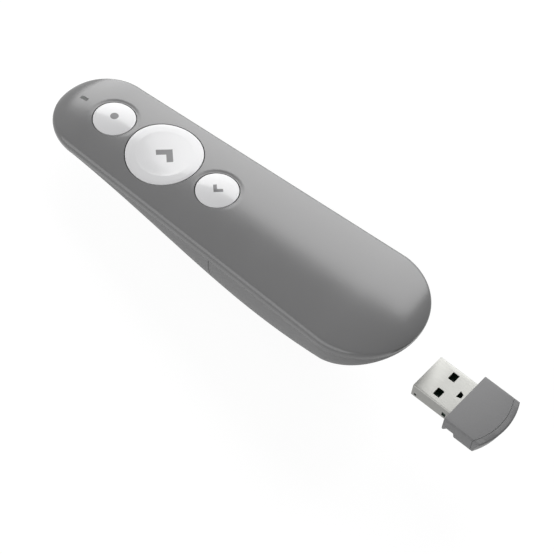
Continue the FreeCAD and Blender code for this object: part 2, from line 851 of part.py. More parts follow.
half = mm.chip_size / 2
chip_mid = board_place(mm.chip_along)
node(box("controller_chip", (-half, half), (chip_mid - half, chip_mid + half),
         (board_bottom - mm.chip_height, board_bottom)), "controller_chip",
     f"{NEXT_DECK} * {place(-half, chip_mid - half, board_bottom - mm.chip_height)}")
half = mm.crystal_width / 2
crystal_mid = board_place(mm.crystal_along)
node(box("crystal_can", (-half, half), (crystal_mid, crystal_mid + mm.crystal_length),
         (board_bottom - mm.crystal_height, board_bottom)), "crystal_can",
     f"{NEXT_DECK} * {place(-half, crystal_mid - mm.crystal_length / 2, board_bottom - mm.crystal_height)}")

pipe_half = mm.slot_width / 2 - mm.fit_gap
pipe_long = mm.slot_length / 2 - mm.fit_gap
led_top = board_top + mm.led_height
node(box("status_led", (-pipe_half, pipe_half), (-pipe_long, pipe_long), (board_top, led_top)), "status_led",
     f"{SLOT_DECK} * {place(-pipe_half, -pipe_long, board_top)}")
pipe = box("PipeBlock", (-pipe_half, pipe_half), (-pipe_long, pipe_long),
           (led_top + mm.fit_gap, mm.overrun / 4), SLOT_DECK)
flush = pebble("Flush", mm.fit_gap.number)
node(shared("light_pipe", pipe, flush), "light_pipe")

# Laser

lens_start = mm.barrel_end - mm.lens_length
barrel = rod("BarrelBlank", mm.barrel_radius, mm.barrel_end - mm.barrel_start,
             place(0, mm.barrel_start, mm.barrel_level, X_AXIS, FORWARDS))
barrel_bore = rod("BarrelBore", mm.barrel_bore + mm.fit_gap, mm.overrun,
                  place(0, lens_start - mm.lens_length, mm.barrel_level, X_AXIS, FORWARDS))
node(cut("laser_barrel", barrel, [barrel_bore]), "laser_barrel")
lens = turned("laser_lens", [(0, 0), (mm.barrel_bore, 0), (mm.barrel_bore, mm.lens_length / 2),
                             (0, mm.lens_length)], (2,))
node(lens, "laser_lens", place(0, lens_start - mm.lens_length / 2, mm.barrel_level, X_AXIS, FORWARDS))
window = rod("WindowRod", mm.window_radius, mm.overrun,
             place(0, mm.window_start, mm.barrel_level, X_AXIS, FORWARDS))
node(shared("laser_window", window, flush), "laser_window")

# Cells: the left one points forwards, the right one backwards

flat_end = mm.cell_length - mm.cell_nub_length
cell_corners = [
    (0, 0),
    (mm.cell_radius, 0),
    (mm.cell_radius, flat_end),
    (mm.cell_nub_radius, flat_end),
    (mm.cell_nub_radius, mm.cell_length),
    (0, mm.cell_length),
]


def on_cell_rim(edge):
    """Whether an edge is one of the two rims of a cell's can."""
    radius = getattr(edge.Curve, "Radius", 0.0)
    return edge.isClosed() and abs(radius - mm.cell_radius.number) < TOUCHING


for side_name, side, start, turn in (
        ("left", -1, cells_start + mm.spring_length, FORWARDS),
        ("right", 1, cells_start + mm.cell_length, BACKWARDS)):
    cell = turned(f"cell_{side_name}", cell_corners)
    rounded(cell, f"CellRound{side_name}", mm.cell_round, on_cell_rim)
    node(cell, f"battery_{side_name}", place(mm.cell_across * side, start, mm.cell_level, X_AXIS, turn))

half_high = mm.contact_height / 2
half_wide = mm.contact_width / 2
bridge_half = mm.cell_across + half_wide


def contact(name, x_low, x_high, start):
    """A flat contact plate against an end wall of the cradle."""
    strip_box = box(name, (x_low, x_high), (start, start + mm.contact_thickness), (0, mm.contact_height))
    return node(strip_box, name, place(x_low, start, mm.cell_level - half_high))


contact("bridge_contact", -bridge_half, bridge_half, plate_back + mm.fit_gap)
contact("positive_contact", -bridge_half, -(mm.cell_across - half_wide), front_plate)
contact("negative_contact", mm.cell_across - half_wide, bridge_half, front_plate)


RINGS_PER_TURN = 20
SPRING_TAPER = 0.34


def coil(name, where):
    """A conical contact spring: a round wire wound in a rising spiral, narrow end out."""
    wire = mm.spring_wire.number
    rise = mm.spring_length.number - wire - mm.fit_gap.number * 2
    turns = mm.spring_turns.number
    base = mm.spring_radius.number
    count = round(turns * RINGS_PER_TURN)
    rings = []
    for i in range(count + 1):
        part = i / count
        turn = 2 * math.pi * turns * part
        radius = base * (1 - SPRING_TAPER * part)
        centre = Vector(radius * math.cos(turn), radius * math.sin(turn), rise * part)
        along = Vector(-math.sin(turn), math.cos(turn), 0)
        rings.append(Part.Wire(Part.Circle(centre, along, wire / 2).toShape()))
    feature = doc.addObject("Part::Feature", name)
    feature.Shape = Part.makeLoft(rings, True, True)
    return node(feature, name, where)


wire_seat = mm.spring_wire / 2 + mm.fit_gap
coil("rear_spring", place(-mm.cell_across, cells_start + wire_seat, mm.cell_level, X_AXIS, FORWARDS))
coil("front_spring", place(mm.cell_across, cells_end - wire_seat, mm.cell_level, X_AXIS, BACKWARDS))

# Receiver, pulled out along its bay

tip = docked_tip - mm.receiver_travel
root = tip - mm.plug_length
apex = root - mm.housing_length
plug_half = mm.plug_width / 2


def long_edge(edge):
    """Whether an edge runs along the receiver."""
    return edge.BoundBox.XLength + edge.BoundBox.ZLength < TOUCHING


def bar(name, x, y, z, corner):
    """A rounded bar along the receiver: a plate whose long edges are rounded."""
    body = plate(name, [(x[0], y[0]), (x[1], y[0]), (x[1], y[1]), (x[0], y[1])], z[1] - z[0])
    rounded(body, name + "Round", corner, long_edge)
    body.setExpression("Placement", place(0, 0, z[0]))
    return body


skin_in = mm.plug_skin
plug_blank = bar("PlugBlank", (-plug_half, plug_half), (root - mm.plug_root, tip), (-mm.plug_height, 0),
                 mm.plug_corner)
plug_space = bar("PlugSpace", (-(plug_half - skin_in), plug_half - skin_in),
                 (root - mm.plug_root - skin_in, tip + skin_in), (-(mm.plug_height - skin_in), -skin_in),
                 mm.plug_corner - skin_in)
windows = []
for side, side_name in ((1, "Right"), (-1, "Left")):
    low, high = (mm.window_near, mm.window_far) if side > 0 else (-mm.window_far, -mm.window_near)
    windows.append(box(f"Window{side_name}", (low, high), (tip - mm.window_high, tip - mm.window_low),
                       (-mm.overrun / 4, mm.overrun / 4)))
latch = plate("Latch", [(-mm.latch_half, tip - mm.latch_low), (0, tip - mm.latch_high),
                        (mm.latch_half, tip - mm.latch_low)], mm.plug_skin * 2)
latch.setExpression("Placement", place(0, 0, -mm.plug_skin - mm.plug_skin / 2))
node(cut("usb_shell", plug_blank, [plug_space, latch] + windows), "usb_shell")

tongue_half = plug_half - skin_in - mm.fit_gap
tongue_floor = skin_in + mm.fit_gap - mm.plug_height
tongue_top = tongue_floor + mm.tongue_height
tongue_tip = tip - mm.plug_skin * 2
node(box("usb_tongue", (-tongue_half, tongue_half), (root - mm.plug_root, tongue_tip),
         (tongue_floor, tongue_top)),
     "usb_tongue", place(-tongue_half, root - mm.plug_root, tongue_floor))
strips = []
PIN_SHARES = (-0.64, -0.185, 0.185, 0.64)
for i, share in enumerate(PIN_SHARES):
    middle = tongue_half * share
    edge = mm.pin_strip_width / 2
    strips.append(box(f"PinStrip{i}", (middle - edge, middle + edge),
                      (tongue_tip - mm.plug_skin - mm.pin_strip_length, tongue_tip - mm.plug_skin),
                      (tongue_top, tongue_top + mm.pin_strip_height)))
node(group("usb_contacts", strips), "usb_contacts")

# The end of the housing is the arc of a wide disc.
housing_half = mm.housing_width / 2
end_centre = apex + mm.end_radius
end_disc = rod("EndDisc", mm.end_radius, mm.housing_height, place(0, end_centre, 0))
near_end = box("NearEnd", (-housing_half, housing_half), (apex, root), (0, mm.housing_height))
housing_plan = shared("HousingPlan", near_end, end_disc)


def rim_edge(edge):
    """Whether an edge lies in the top or bottom face of the housing, clear of its front."""
    box_of = edge.BoundBox
    return box_of.ZLength < TOUCHING and box_of.YMin < root.number - TOUCHING


housing_plan.recompute(True)
rims = []
for i, edge in enumerate(housing_plan.Shape.Edges):
    if rim_edge(edge):
        level = edge.BoundBox.ZMin
        size = mm.housing_foot_round if level < TOUCHING else mm.housing_top_round
        rims.append((i + 1, size.number, size.number))
housing_round = doc.addObject("Part::Fillet", "HousingRound")
housing_round.Base = housing_plan
housing_round.Edges = rims
housing_round.setExpression("Placement", place(0, 0, housing_bottom))

core = mm.end_radius - mm.end_thickness
front_disc = rod("FrontDisc", core - mm.groove_width, mm.overrun, place(0, end_centre, -mm.overrun / 2))
cap_disc = rod("CapDisc", core, mm.overrun, place(0, end_centre, -mm.overrun / 2))
node(cut("receiver_end_cap", housing_round, [cap_disc]), "receiver_end_cap")

hollow_half = housing_half - mm.housing_skin
hollow_back = apex + mm.end_thickness + mm.groove_width + mm.housing_skin + mm.end_bulge
housing_cuts = [
    box("BoardSpace", (-hollow_half, hollow_half), (hollow_back, root - mm.housing_skin),
        (housing_bottom + mm.housing_skin, housing_top - mm.housing_skin)),
    box("PlugHole", (-plug_half - mm.fit_gap, plug_half + mm.fit_gap), (hollow_back, root + mm.overrun),
        (-mm.plug_height - mm.fit_gap, mm.fit_gap)),
]
# Each notch is open below and stops at mid height, where the middle of the plug is.
for side, side_name in ((1, "Right"), (-1, "Left")):
    low = housing_half - mm.notch_depth if side > 0 else -mm.overrun
    high = mm.overrun if side > 0 else mm.notch_depth - housing_half
    housing_cuts.append(box(f"Notch{side_name}", (low, high),
                            (root - mm.notch_start - mm.notch_length, root - mm.notch_start),
                            (-mm.overrun, -mm.plug_height / 2)))
housing_core = shared("HousingCore", housing_round, front_disc)
node(cut("receiver_housing", housing_core, housing_cuts), "receiver_housing")

board_half = hollow_half - mm.fit_gap * 2
board_low = -(mm.plug_height / 2) - mm.receiver_board / 2
node(box("receiver_board", (-board_half, board_half),
         (hollow_back + mm.fit_gap, root - mm.plug_root - mm.fit_gap),
         (board_low, board_low + mm.receiver_board)),
     "receiver_board", place(-board_half, hollow_back + mm.fit_gap, board_low))

doc.recompute()
for thing in doc.Objects:
    if "Invalid" in thing.State or "Error" in thing.State:
        raise RuntimeError(f"{thing.Label} did not build: {thing.State}")
os.makedirs("parts", exist_ok=True)
for thing in nodes:
    shape = thing.Shape
    if shape.isNull() or not shape.isValid() or shape.Volume <= 0:
        raise RuntimeError(f"{thing.Label} has no valid solid")
    shape.exportStep(f"parts/{thing.Label}.step")
    print(f"{thing.Label:18} {len(shape.Solids)} solid, {shape.Volume:9.2f} mm3")
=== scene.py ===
# %% [markdown]
# # A wireless presentation clicker, dressed for its photograph
# The CAD model gives every piece its size and place, and this script gives each one its look. New pieces
# ride on the CAD bodies, so they move with the joints.

# %% Load the CAD model
import math

import bmesh
import bpy
from mathutils import Matrix, Vector
from mathutils.bvhtree import BVHTree
from mathutils.interpolate import poly_3d_calc


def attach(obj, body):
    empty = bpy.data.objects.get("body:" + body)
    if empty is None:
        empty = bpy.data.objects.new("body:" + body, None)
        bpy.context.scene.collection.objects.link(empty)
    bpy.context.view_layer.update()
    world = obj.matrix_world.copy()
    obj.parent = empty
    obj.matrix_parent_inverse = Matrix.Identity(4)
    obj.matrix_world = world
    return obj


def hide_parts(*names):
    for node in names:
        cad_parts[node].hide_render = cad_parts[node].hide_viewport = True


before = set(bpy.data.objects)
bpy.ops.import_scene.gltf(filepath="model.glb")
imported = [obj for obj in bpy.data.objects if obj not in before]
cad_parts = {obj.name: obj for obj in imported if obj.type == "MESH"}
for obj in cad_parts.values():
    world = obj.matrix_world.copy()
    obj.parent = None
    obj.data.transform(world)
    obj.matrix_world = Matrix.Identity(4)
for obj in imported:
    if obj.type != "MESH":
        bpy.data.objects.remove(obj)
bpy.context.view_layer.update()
MM = 0.001

# %% [markdown]
# The handset was drawn level with the bay for its receiver: x across, s from the tip of the tail
# towards the head, z up. On the table it settles five degrees nose down on its belly. Every shape below
# is worked out in those level millimetres, and one function lays it on the table.

# %% Sizes of the pebble, in millimetres and degrees
LENGTH = 123.4
TAIL_RADIUS = 18.4
HEAD_RADIUS = 14.45
EDGE_RADIUS = 1.6
CROWN_ANGLE = math.radians(12.95)
DECK_SLOPE = math.radians(3.2)
RIM_AT_TAIL = 9.75
WALL = 1.3
DEPTH_SHARES = (0.58, 1.278, 1.246, 0.745, 0.50)
REST_TILT = math.radians(5)
REST_ALONG = 54.0
PATCH_DEPTH = 0.45


def depth_terms():
    """Coefficients, from the fourth power down, of the curve through the five depth shares."""
    terms = [0.0] * 5
    for i, share in enumerate(DEPTH_SHARES):
        product = [1.0]
        for j in range(5):
            if j != i:
                step = 4 / (i - j)
                shift = -j / (i - j)
                product = [a * step + b * shift for a, b in zip(product + [0.0], [0.0] + product)]
        terms = [a + share * b for a, b in zip(terms, product)]
    return terms


DEPTH_TERMS = depth_terms()
LEAN = math.asin((TAIL_RADIUS - HEAD_RADIUS) / (LENGTH - HEAD_RADIUS - TAIL_RADIUS))


def half_width(along):
    """Half width of the straight-sided stretch."""
    return TAIL_RADIUS / math.cos(LEAN) - (along - TAIL_RADIUS) * math.tan(LEAN)


def rim_level(along):
    """Height of the widest line."""
    return RIM_AT_TAIL - math.tan(DECK_SLOPE) * along


def crown_level(along):
    """Height of the top line."""
    side = half_width(along) - EDGE_RADIUS * (1 - math.sin(CROWN_ANGLE))
    return rim_level(along) + EDGE_RADIUS * math.cos(CROWN_ANGLE) + side * math.tan(CROWN_ANGLE) / 2


def crown_drop(along):
    """How fast the deck falls away to the sides, per square millimetre from the middle."""
    side = half_width(along) - EDGE_RADIUS * (1 - math.sin(CROWN_ANGLE))
    return math.tan(CROWN_ANGLE) / 2 / side


def belly_depth(along):
    """Depth of the belly below the rim."""
    part = along / LENGTH
    share = 0.0
    for term in DEPTH_TERMS:
        share = share * part + term
    return share * half_width(along)


REST_LEVEL = rim_level(REST_ALONG) - belly_depth(REST_ALONG) + PATCH_DEPTH


def lay(x, s, z):
    """A point of the level handset, in mm, as it lies on the table, in metres."""
    run, rise = s - REST_ALONG, z - REST_LEVEL
    cos, sin = math.cos(REST_TILT), math.sin(REST_TILT)
    return Vector((x, cos * run + sin * rise, cos * rise - sin * run)) * MM


print("level of the table under the belly:", round(REST_LEVEL, 3))

# %% [markdown]
# The keys stand square to the top line, which falls gently to the nose. A small frame for each key
# turns its own right, forward and up into the level handset, and then onto the table.

# %% Frames of the keys
KEY_ALONG = {"laser": 105.6, "next": 87.1, "back": 68.1}
KEY_RADIUS = {"laser": 5.95, "next": 10.7, "back": 5.95}
KEY_GAP = 0.25
CROWN_SLOPE = math.atan((crown_level(KEY_ALONG["back"]) - crown_level(KEY_ALONG["laser"]))
                        / (KEY_ALONG["laser"] - KEY_ALONG["back"]))


def on_deck(along):
    """A function that lays a point given square to the top line at a station."""
    level = crown_level(along)
    cos, sin = math.cos(CROWN_SLOPE), math.sin(CROWN_SLOPE)
    return lambda x, y, z: lay(x, along + y * cos + z * sin, level - y * sin + z * cos)


print("top line falls", round(math.degrees(CROWN_SLOPE), 2), "degrees to the nose")

# %% [markdown]
# The camera looks down on the handset from its tail's left. Its angles come from the photograph, by
# fitting the round keys, the casing's outline and the plug's corners. The picture is square, so the
# sensor is too, and the shift only keeps the picture's middle where the photograph has it.

# %% Camera
scene = bpy.context.scene
AZIMUTH, ELEVATION, ROLL = (math.radians(a) for a in (-62.843, 57.575, 16.389))
FOCAL_PIXELS, FRAME_PIXELS = 2000.0, 554.0
SEEN = Vector((0, -57.9085, 20.1347)) * MM
SEEN_PIXEL = (427.225, 370.493)
SEEN_DISTANCE = 517.069 * MM

right = Vector((math.cos(AZIMUTH), math.sin(AZIMUTH), 0))
level_part = math.cos(ELEVATION)
back = Vector((math.sin(AZIMUTH) * level_part, -math.cos(AZIMUTH) * level_part, math.sin(ELEVATION)))
above = back.cross(right)
across = right * math.cos(ROLL) + above * math.sin(ROLL)
upward = above * math.cos(ROLL) - right * math.sin(ROLL)
per_pixel = SEEN_DISTANCE / FOCAL_PIXELS
eye = SEEN + back * SEEN_DISTANCE
eye -= across * (SEEN_PIXEL[0] - FRAME_PIXELS / 2) * per_pixel
eye += upward * (SEEN_PIXEL[1] - FRAME_PIXELS / 2) * per_pixel

lens = bpy.data.cameras.new("camera")
lens.sensor_width = 36
lens.lens = FOCAL_PIXELS / FRAME_PIXELS * lens.sensor_width
lens.clip_start, lens.clip_end = 0.01, 20
camera = bpy.data.objects.new("camera", lens)
turn = Matrix((across, upward, back)).transposed()
camera.matrix_world = Matrix.Translation(eye) @ turn.to_4x4()
scene.collection.objects.link(camera)
scene.camera = camera
print("camera at", [round(v, 3) for v in eye], "m with a lens of", round(lens.lens, 1), "mm")

# %% [markdown]
# Node trees are easier to read as sums. This class wraps one socket, so that 1 - mask or a * b adds its
# Math node, and its add method puts in any other node. It serves the shaders and the shape alike.

# %% Sockets as values


class Wire:
    """One output socket of a node tree, used like a number."""

    def __init__(self, tree, socket):
        self.tree = tree
        self.socket = socket

    def add(self, kind, settings=None, inputs=None, output=0):
        """Any node: its settings first, then the values or wires of its sockets."""
        made = self.tree.nodes.new(kind)
        for name, value in (settings or {}).items():
            if name == "stops":
                ramp = made.color_ramp
                while len(ramp.elements) < len(value):
                    ramp.elements.new(0.5)
                for element, (place, colour) in zip(ramp.elements, value):
                    element.position = place
                    element.color = colour
            else:
                setattr(made, name, value)
        for name, value in (inputs or {}).items():
            socket = made.inputs[name]
            if isinstance(value, Wire):
                self.tree.links.new(value.socket, socket)
            else:
                socket.default_value = value
        return Wire(self.tree, made.outputs[output])

    def maths(self, operation, *others):
        """One Math node on this wire and up to two more values."""
        inputs = dict(enumerate((self,) + others))
        return self.add("ShaderNodeMath", {"operation": operation}, inputs)

    def __add__(self, other):
        return self.maths("ADD", other)

    def __radd__(self, other):
        return self.maths("ADD", other)

    def __sub__(self, other):
        return self.maths("SUBTRACT", other)

    def __rsub__(self, other):
        return (self * -1).maths("ADD", other)

    def __mul__(self, other):
        return self.maths("MULTIPLY", other)

    def __rmul__(self, other):
        return self.maths("MULTIPLY", other)

    def __truediv__(self, other):
        return self.maths("DIVIDE", other)

    def axis(self, which):
        """One coordinate of a vector wire."""
        return self.add("ShaderNodeSeparateXYZ", {}, {0: self}, which)

    def clamp(self):
        """Kept between 0 and 1."""
        return self.add("ShaderNodeClamp", {}, {"Value": self})

    def mix(self, low, high):
        """A colour between two, by this wire."""
        return self.add("ShaderNodeMix", {"data_type": "RGBA"}, {0: self, 6: low, 7: high}, 2)


# %% [markdown]
# A real surface is never one flat colour. A finish here is a Principled shader whose colour drifts a
# little, whose roughness is uneven, and whose bump has the grain of its making. Lengths in the
# patterns are real: the coordinates are the object's own, in metres.

# %% Finishes in general


def start_material(name):
    """A new material: its shader node and a wire of the object coordinates."""
    material = bpy.data.materials.new(name)
    material.use_nodes = True
    tree = material.node_tree
    shader = next(n for n in tree.nodes if n.type == "BSDF_PRINCIPLED")
    places = tree.nodes.new("ShaderNodeTexCoord")
    return material, shader, Wire(tree, places.outputs["Object"])


def plug_in(shader, name, value):
    """Give a socket of the shader a value or a wire."""
    socket = shader.inputs[name]
    if isinstance(value, Wire):
        value.tree.links.new(value.socket, socket)
    else:
        socket.default_value = value


def noise(where, size, detail=2.0, roughness=0.5):
    """Cloudy noise whose features are about size millimetres across."""
    return where.add("ShaderNodeTexNoise", {}, {"Vector": where, "Scale": 1 / (size * MM), "Detail": detail,
                                                "Roughness": roughness})


def bumped(height, depth, strength=1.0):
    """A bump from a height between 0 and 1 that is depth millimetres deep."""
    return height.add("ShaderNodeBump", {}, {"Height": height, "Distance": depth * MM, "Strength": strength})


def moulded(name, colour, roughness, grain=0.12, depth=0.004, drift=0.06, shine=0.5):
    """A moulded or plated finish: slight drift of tone, uneven gloss and a fine grain."""
    material, shader, where = start_material(name)
    slow = noise(where, 9.0, 3.0)
    fine = noise(where, grain, 2.0, 0.6)
    darker = [c * (1 - drift) for c in colour] + [1]
    lighter = [min(c * (1 + drift), 1) for c in colour] + [1]
    plug_in(shader, "Base Color", slow.mix(darker, lighter))
    plug_in(shader, "Roughness", (fine - 0.5) * 0.10 + (slow - 0.5) * 0.08 + roughness)
    plug_in(shader, "Normal", bumped(fine, depth))
    plug_in(shader, "Specular IOR Level", shine)
    return material


# %% [markdown]
# The deck is a satin grey plastic with a very fine grain. The belly under it is the same plastic, drawn
# without the sheen, and its grey is painted lighter than the deck's as painted light in place of the sheen.
# The receiver is grey too. The keys are polished white.

# %% Casing finish
FINE = {"grain": 0.10, "depth": 0.002, "drift": 0.03}
casing_finish = moulded("casing grey", (0.150, 0.150, 0.152), 0.22, shine=0.75, **FINE)
# The belly's grey is painted lighter than the deck's: painted light that stands in for the sheen it is drawn
# without.
belly_grey_painted_lighter = moulded("belly grey painted lighter", (0.27, 0.27, 0.272), 0.50, shine=0.04, **FINE)
receiver_finish = moulded("receiver grey", (0.175, 0.175, 0.178), 0.42, **FINE | {"depth": 0.0025})

# %% [markdown]
# ## The casing
# On the real object the casing is one smooth pebble, split into a top, a belly and a battery cover.
# Its outline is a belt round two circles, its top a shallow arch that drops to a rounded edge, and its
# belly a half ellipse that is deepest near the tail. A shape that follows a rule suits Geometry Nodes:
# a grid of points is bent by the rule, and the sizes are named inputs that can be tried out.

# %% Pebble as a node tree
ALONG_TAIL, ALONG_SIDE, ALONG_HEAD = 30, 96, 30
OVER_CROWN, OVER_EDGE, OVER_BELLY = 48, 10, 56


def stepped(wire, counts):
    """A wire that rises by one over each stretch of steps in turn."""
    done = 0
    total = None
    for count in counts:
        piece = ((wire - done) / count).clamp()
        total = piece if total is None else total + piece
        done += count
    return total


def pebble_tree():
    """The tree that bends a grid into the pebble, inset from the outside by a named input."""
    tree = bpy.data.node_groups.new("pebble", "GeometryNodeTree")
    sockets = tree.interface
    sizes = {"Length": LENGTH, "Tail Radius": TAIL_RADIUS, "Head Radius": HEAD_RADIUS,
             "Edge Radius": EDGE_RADIUS, "Rim At Tail": RIM_AT_TAIL, "Inset": 0.0}
    for name, size in sizes.items():
        sockets.new_socket(name, in_out="INPUT", socket_type="NodeSocketFloat").default_value = size
    sockets.new_socket("Finish", in_out="INPUT", socket_type="NodeSocketMaterial")
    sockets.new_socket("Geometry", in_out="OUTPUT", socket_type="NodeSocketGeometry")
    given = tree.nodes.new("NodeGroupInput")
    size = {name: Wire(tree, given.outputs[name]) for name in sizes}
    steps_along = ALONG_TAIL + ALONG_SIDE + ALONG_HEAD
    steps_over = OVER_CROWN + OVER_BELLY + OVER_EDGE * 2
    any_wire = size["Length"]
    grid = any_wire.add("GeometryNodeMeshGrid", {}, {
        "Size X": float(steps_along), "Size Y": float(steps_over),
        "Vertices X": steps_along + 1, "Vertices Y": steps_over + 1})
    spot = any_wire.add("GeometryNodeInputPosition")
    step_along = spot.axis(0) + steps_along / 2
    step_over = spot.axis(1) + steps_over / 2

    inset = size["Inset"]
    tail, head = size["Tail Radius"] - inset, size["Head Radius"] - inset
    tail_centre = size["Tail Radius"]
    head_centre = size["Length"] - size["Head Radius"]
    tail_turn = math.pi / 2 - ((tail - head) / (head_centre - tail_centre)).maths("ARCSINE")
    on_tail = (step_along / ALONG_TAIL).clamp()
    on_side = ((step_along - ALONG_TAIL) / ALONG_SIDE).clamp()
    on_head = ((step_along - ALONG_TAIL - ALONG_SIDE) / ALONG_HEAD).clamp()
    turn = tail_turn * on_tail + (math.pi - tail_turn) * on_head
    belt = tail + (head - tail) * on_side
    half = belt * turn.maths("SINE")
    along = tail_centre + (head_centre - tail_centre) * on_side - belt * turn.maths("COSINE")

    part = along / size["Length"]
    share = part * 0 + DEPTH_TERMS[0]
    for term in DEPTH_TERMS[1:]:
        share = share * part + term
    depth = (share * (belt + inset) - inset) / belt * half
    rim = size["Rim At Tail"] - along * math.tan(DECK_SLOPE)
    edge = (size["Edge Radius"] - inset).maths("MAXIMUM", size["Edge Radius"] / 8) * half / belt

    round_it = stepped(step_over, (OVER_CROWN, OVER_EDGE, OVER_BELLY, OVER_EDGE))
    over_crown = round_it.clamp() * 2 - 1
    over_edge = (round_it - 1).clamp() - (round_it - 3).clamp()
    lean = over_edge * (math.pi / 2 - CROWN_ANGLE) + CROWN_ANGLE
    under = (round_it - 2).clamp() * math.pi
    side = half - edge + edge * lean.maths("SINE")
    crown_side = half - edge * (1 - math.sin(CROWN_ANGLE))
    rise = crown_side * (math.tan(CROWN_ANGLE) / 2) * (1 - over_crown * over_crown)
    x = side * under.maths("COSINE") * over_crown
    z = rim + edge * lean.maths("COSINE") + rise - depth * under.maths("SINE")

    run, height = along - REST_ALONG, z - REST_LEVEL
    cos, sin = math.cos(REST_TILT), math.sin(REST_TILT)
    y_laid = run * cos + height * sin
    z_laid = (height * cos - run * sin).maths("MAXIMUM", 0.0)
    place = x.add("ShaderNodeCombineXYZ", {}, {0: x * MM, 1: y_laid * MM, 2: z_laid * MM})
    bent = grid.add("GeometryNodeSetPosition", {}, {"Geometry": grid, "Position": place})
    closed = bent.add("GeometryNodeMergeByDistance", {}, {"Geometry": bent, "Distance": 1e-6})
    real = closed.add("GeometryNodeRealizeInstances", {}, {0: closed})
    finish = Wire(tree, given.outputs["Finish"])
    done = real.add("GeometryNodeSetMaterial", {}, {"Geometry": real, "Material": finish})
    out = tree.nodes.new("NodeGroupOutput")
    tree.links.new(done.socket, out.inputs["Geometry"])
    return tree


PEBBLE = pebble_tree()
print("pebble tree:", len(PEBBLE.nodes), "nodes")

# %% [markdown]
# The modifier's inputs are set by each socket's identifier before the object is first evaluated. The
# result is taken as a plain mesh, and the modifier goes with its object.

# %% Plain meshes from a tree


def from_tree(tree, **inputs):
    """A plain mesh from a node tree with the given inputs, its faces pointing outwards."""
    holder = bpy.data.objects.new("holder", bpy.data.meshes.new("holder"))
    scene.collection.objects.link(holder)
    modifier = holder.modifiers.new("shape", "NODES")
    modifier.node_group = tree
    by_name = {item.name.lower().replace(" ", "_"): item.identifier
               for item in tree.interface.items_tree if item.in_out == "INPUT"}
    for name, value in inputs.items():
        modifier[by_name[name]] = value
    graph = bpy.context.evaluated_depsgraph_get()
    mesh = bpy.data.meshes.new_from_object(holder.evaluated_get(graph))
    bpy.data.objects.remove(holder)
    face_out(mesh)
    return mesh


def face_out(mesh):
    """Merge doubles and point the faces outwards."""
    work = bmesh.new()
    work.from_mesh(mesh)
    bmesh.ops.remove_doubles(work, verts=work.verts, dist=1e-7)
    bmesh.ops.recalc_face_normals(work, faces=work.faces)
    work.to_mesh(mesh)
    work.free()


outer = from_tree(PEBBLE, finish=casing_finish)
inner = from_tree(PEBBLE, finish=casing_finish, inset=WALL)
print("pebble:", len(outer.polygons), "faces outside,", len(inner.polygons), "inside")

# %% [markdown]
# The small keys sit in shallow rings that are pressed into the deck with soft edges, deepest on the
# right. The grid is too coarse for so narrow a ring, so its faces near each small key are divided
# first, and their points are lowered by a smooth step.

# %% Sunk rings round the small keys
SINK_WIDTH, SINK_DEPTH, SINK_MARGIN = 1.3, 0.18, 0.8
DECK_REACH = 2


def smooth_step(part):
    """A soft step from 0 to 1."""
    part = min(max(part, 0.0), 1.0)
    return part * part * (3 - 2 * part)


def sink_ring(mesh, key):
    """Lower the deck round one small key."""
    where = on_deck(KEY_ALONG[key])
    centre, up = where(0, 0, 0), (where(0, 0, 1) - where(0, 0, 0)).normalized()
    bore = KEY_RADIUS[key] + KEY_GAP
    reach = (bore + SINK_WIDTH) * MM

    def away(point):
        gap = point - centre
        return (gap - up * gap.dot(up)).length if gap.dot(up) > -DECK_REACH * MM else 1.0

    work = bmesh.new()
    work.from_mesh(mesh)
    least, most = bore * MM - SINK_MARGIN * MM, reach + SINK_MARGIN * MM
    for _ in range(2):
        near = [e for e in work.edges if any(least < away(v.co) < most for v in e.verts)]
        bmesh.ops.subdivide_edges(work, edges=near, cuts=1, use_grid_fill=True)
    bmesh.ops.triangulate(work, faces=[f for f in work.faces if len(f.verts) > 4])
    for v in work.verts:
        span = away(v.co)
        if span < reach:
            side = smooth_step(0.5 + v.co.x / span / 2)
            v.co -= up * SINK_DEPTH * side * MM * smooth_step((reach - span) / (SINK_WIDTH * MM))
    work.to_mesh(mesh)
    work.free()


for key in ("laser", "back"):
    sink_ring(outer, key)
print("after the rings:", len(outer.polygons), "faces outside")

# %% [markdown]
# Cutting tools are plain solids made in code: blocks for the seams, the mouth and the light slot, and
# turned shapes for the round openings. The exact boolean solver cuts cleanly even where many faces meet.

# %% Cutting tools and booleans


def mesh_of(name, points, faces):
    """A mesh from points in metres."""
    mesh = bpy.data.meshes.new(name)
    mesh.from_pydata([tuple(p) for p in points], [], faces)
    face_out(mesh)
    return mesh


def between(a, b, count):
    """Faces that join two loops of points, given the index of each loop's first point."""
    return [(a + j, a + (j + 1) % count, b + (j + 1) % count, b + j) for j in range(count)]


def block(x, s, z, where=lay):
    """A block between two limits along each axis of a frame."""
    points = [where(a, b, c) for a in x for b in s for c in z]
    return mesh_of("block", points, [(0, 1, 3, 2), (4, 6, 7, 5), (0, 4, 5, 1), (2, 3, 7, 6), (0, 2, 6, 4),
                                     (1, 5, 7, 3)])


def turned(outline, where, steps=96):
    """A solid turned about the z axis of a frame. The outline is radius and height, from axis to axis."""
    points, rings = [], []
    for radius, height in outline:
        if radius == 0:
            rings.append([len(points)] * steps)
            points.append(where(0, 0, height))
            continue
        rings.append(list(range(len(points), len(points) + steps)))
        for i in range(steps):
            angle = math.tau * i / steps
            points.append(where(radius * math.cos(angle), radius * math.sin(angle), height))
    faces = []
    for low, high in zip(rings, rings[1:]):
        for i in range(steps):
            j = (i + 1) % steps
            corners = [low[i], low[j], high[j], high[i]]
            face = [c for k, c in enumerate(corners) if c != corners[k - 1]]
            if len(face) > 2:
                faces.append(face)
    return mesh_of("turned", points, faces)


def rod(radius, low, high, where, steps=48):
    """A round bar along the z axis of a frame."""
    return turned([(0, low), (radius, low), (radius, high), (0, high)], where, steps)


def moved(where, right, forward, up):
    """A frame shifted inside another."""
    return lambda x, y, z: where(right + x, forward + y, up + z)


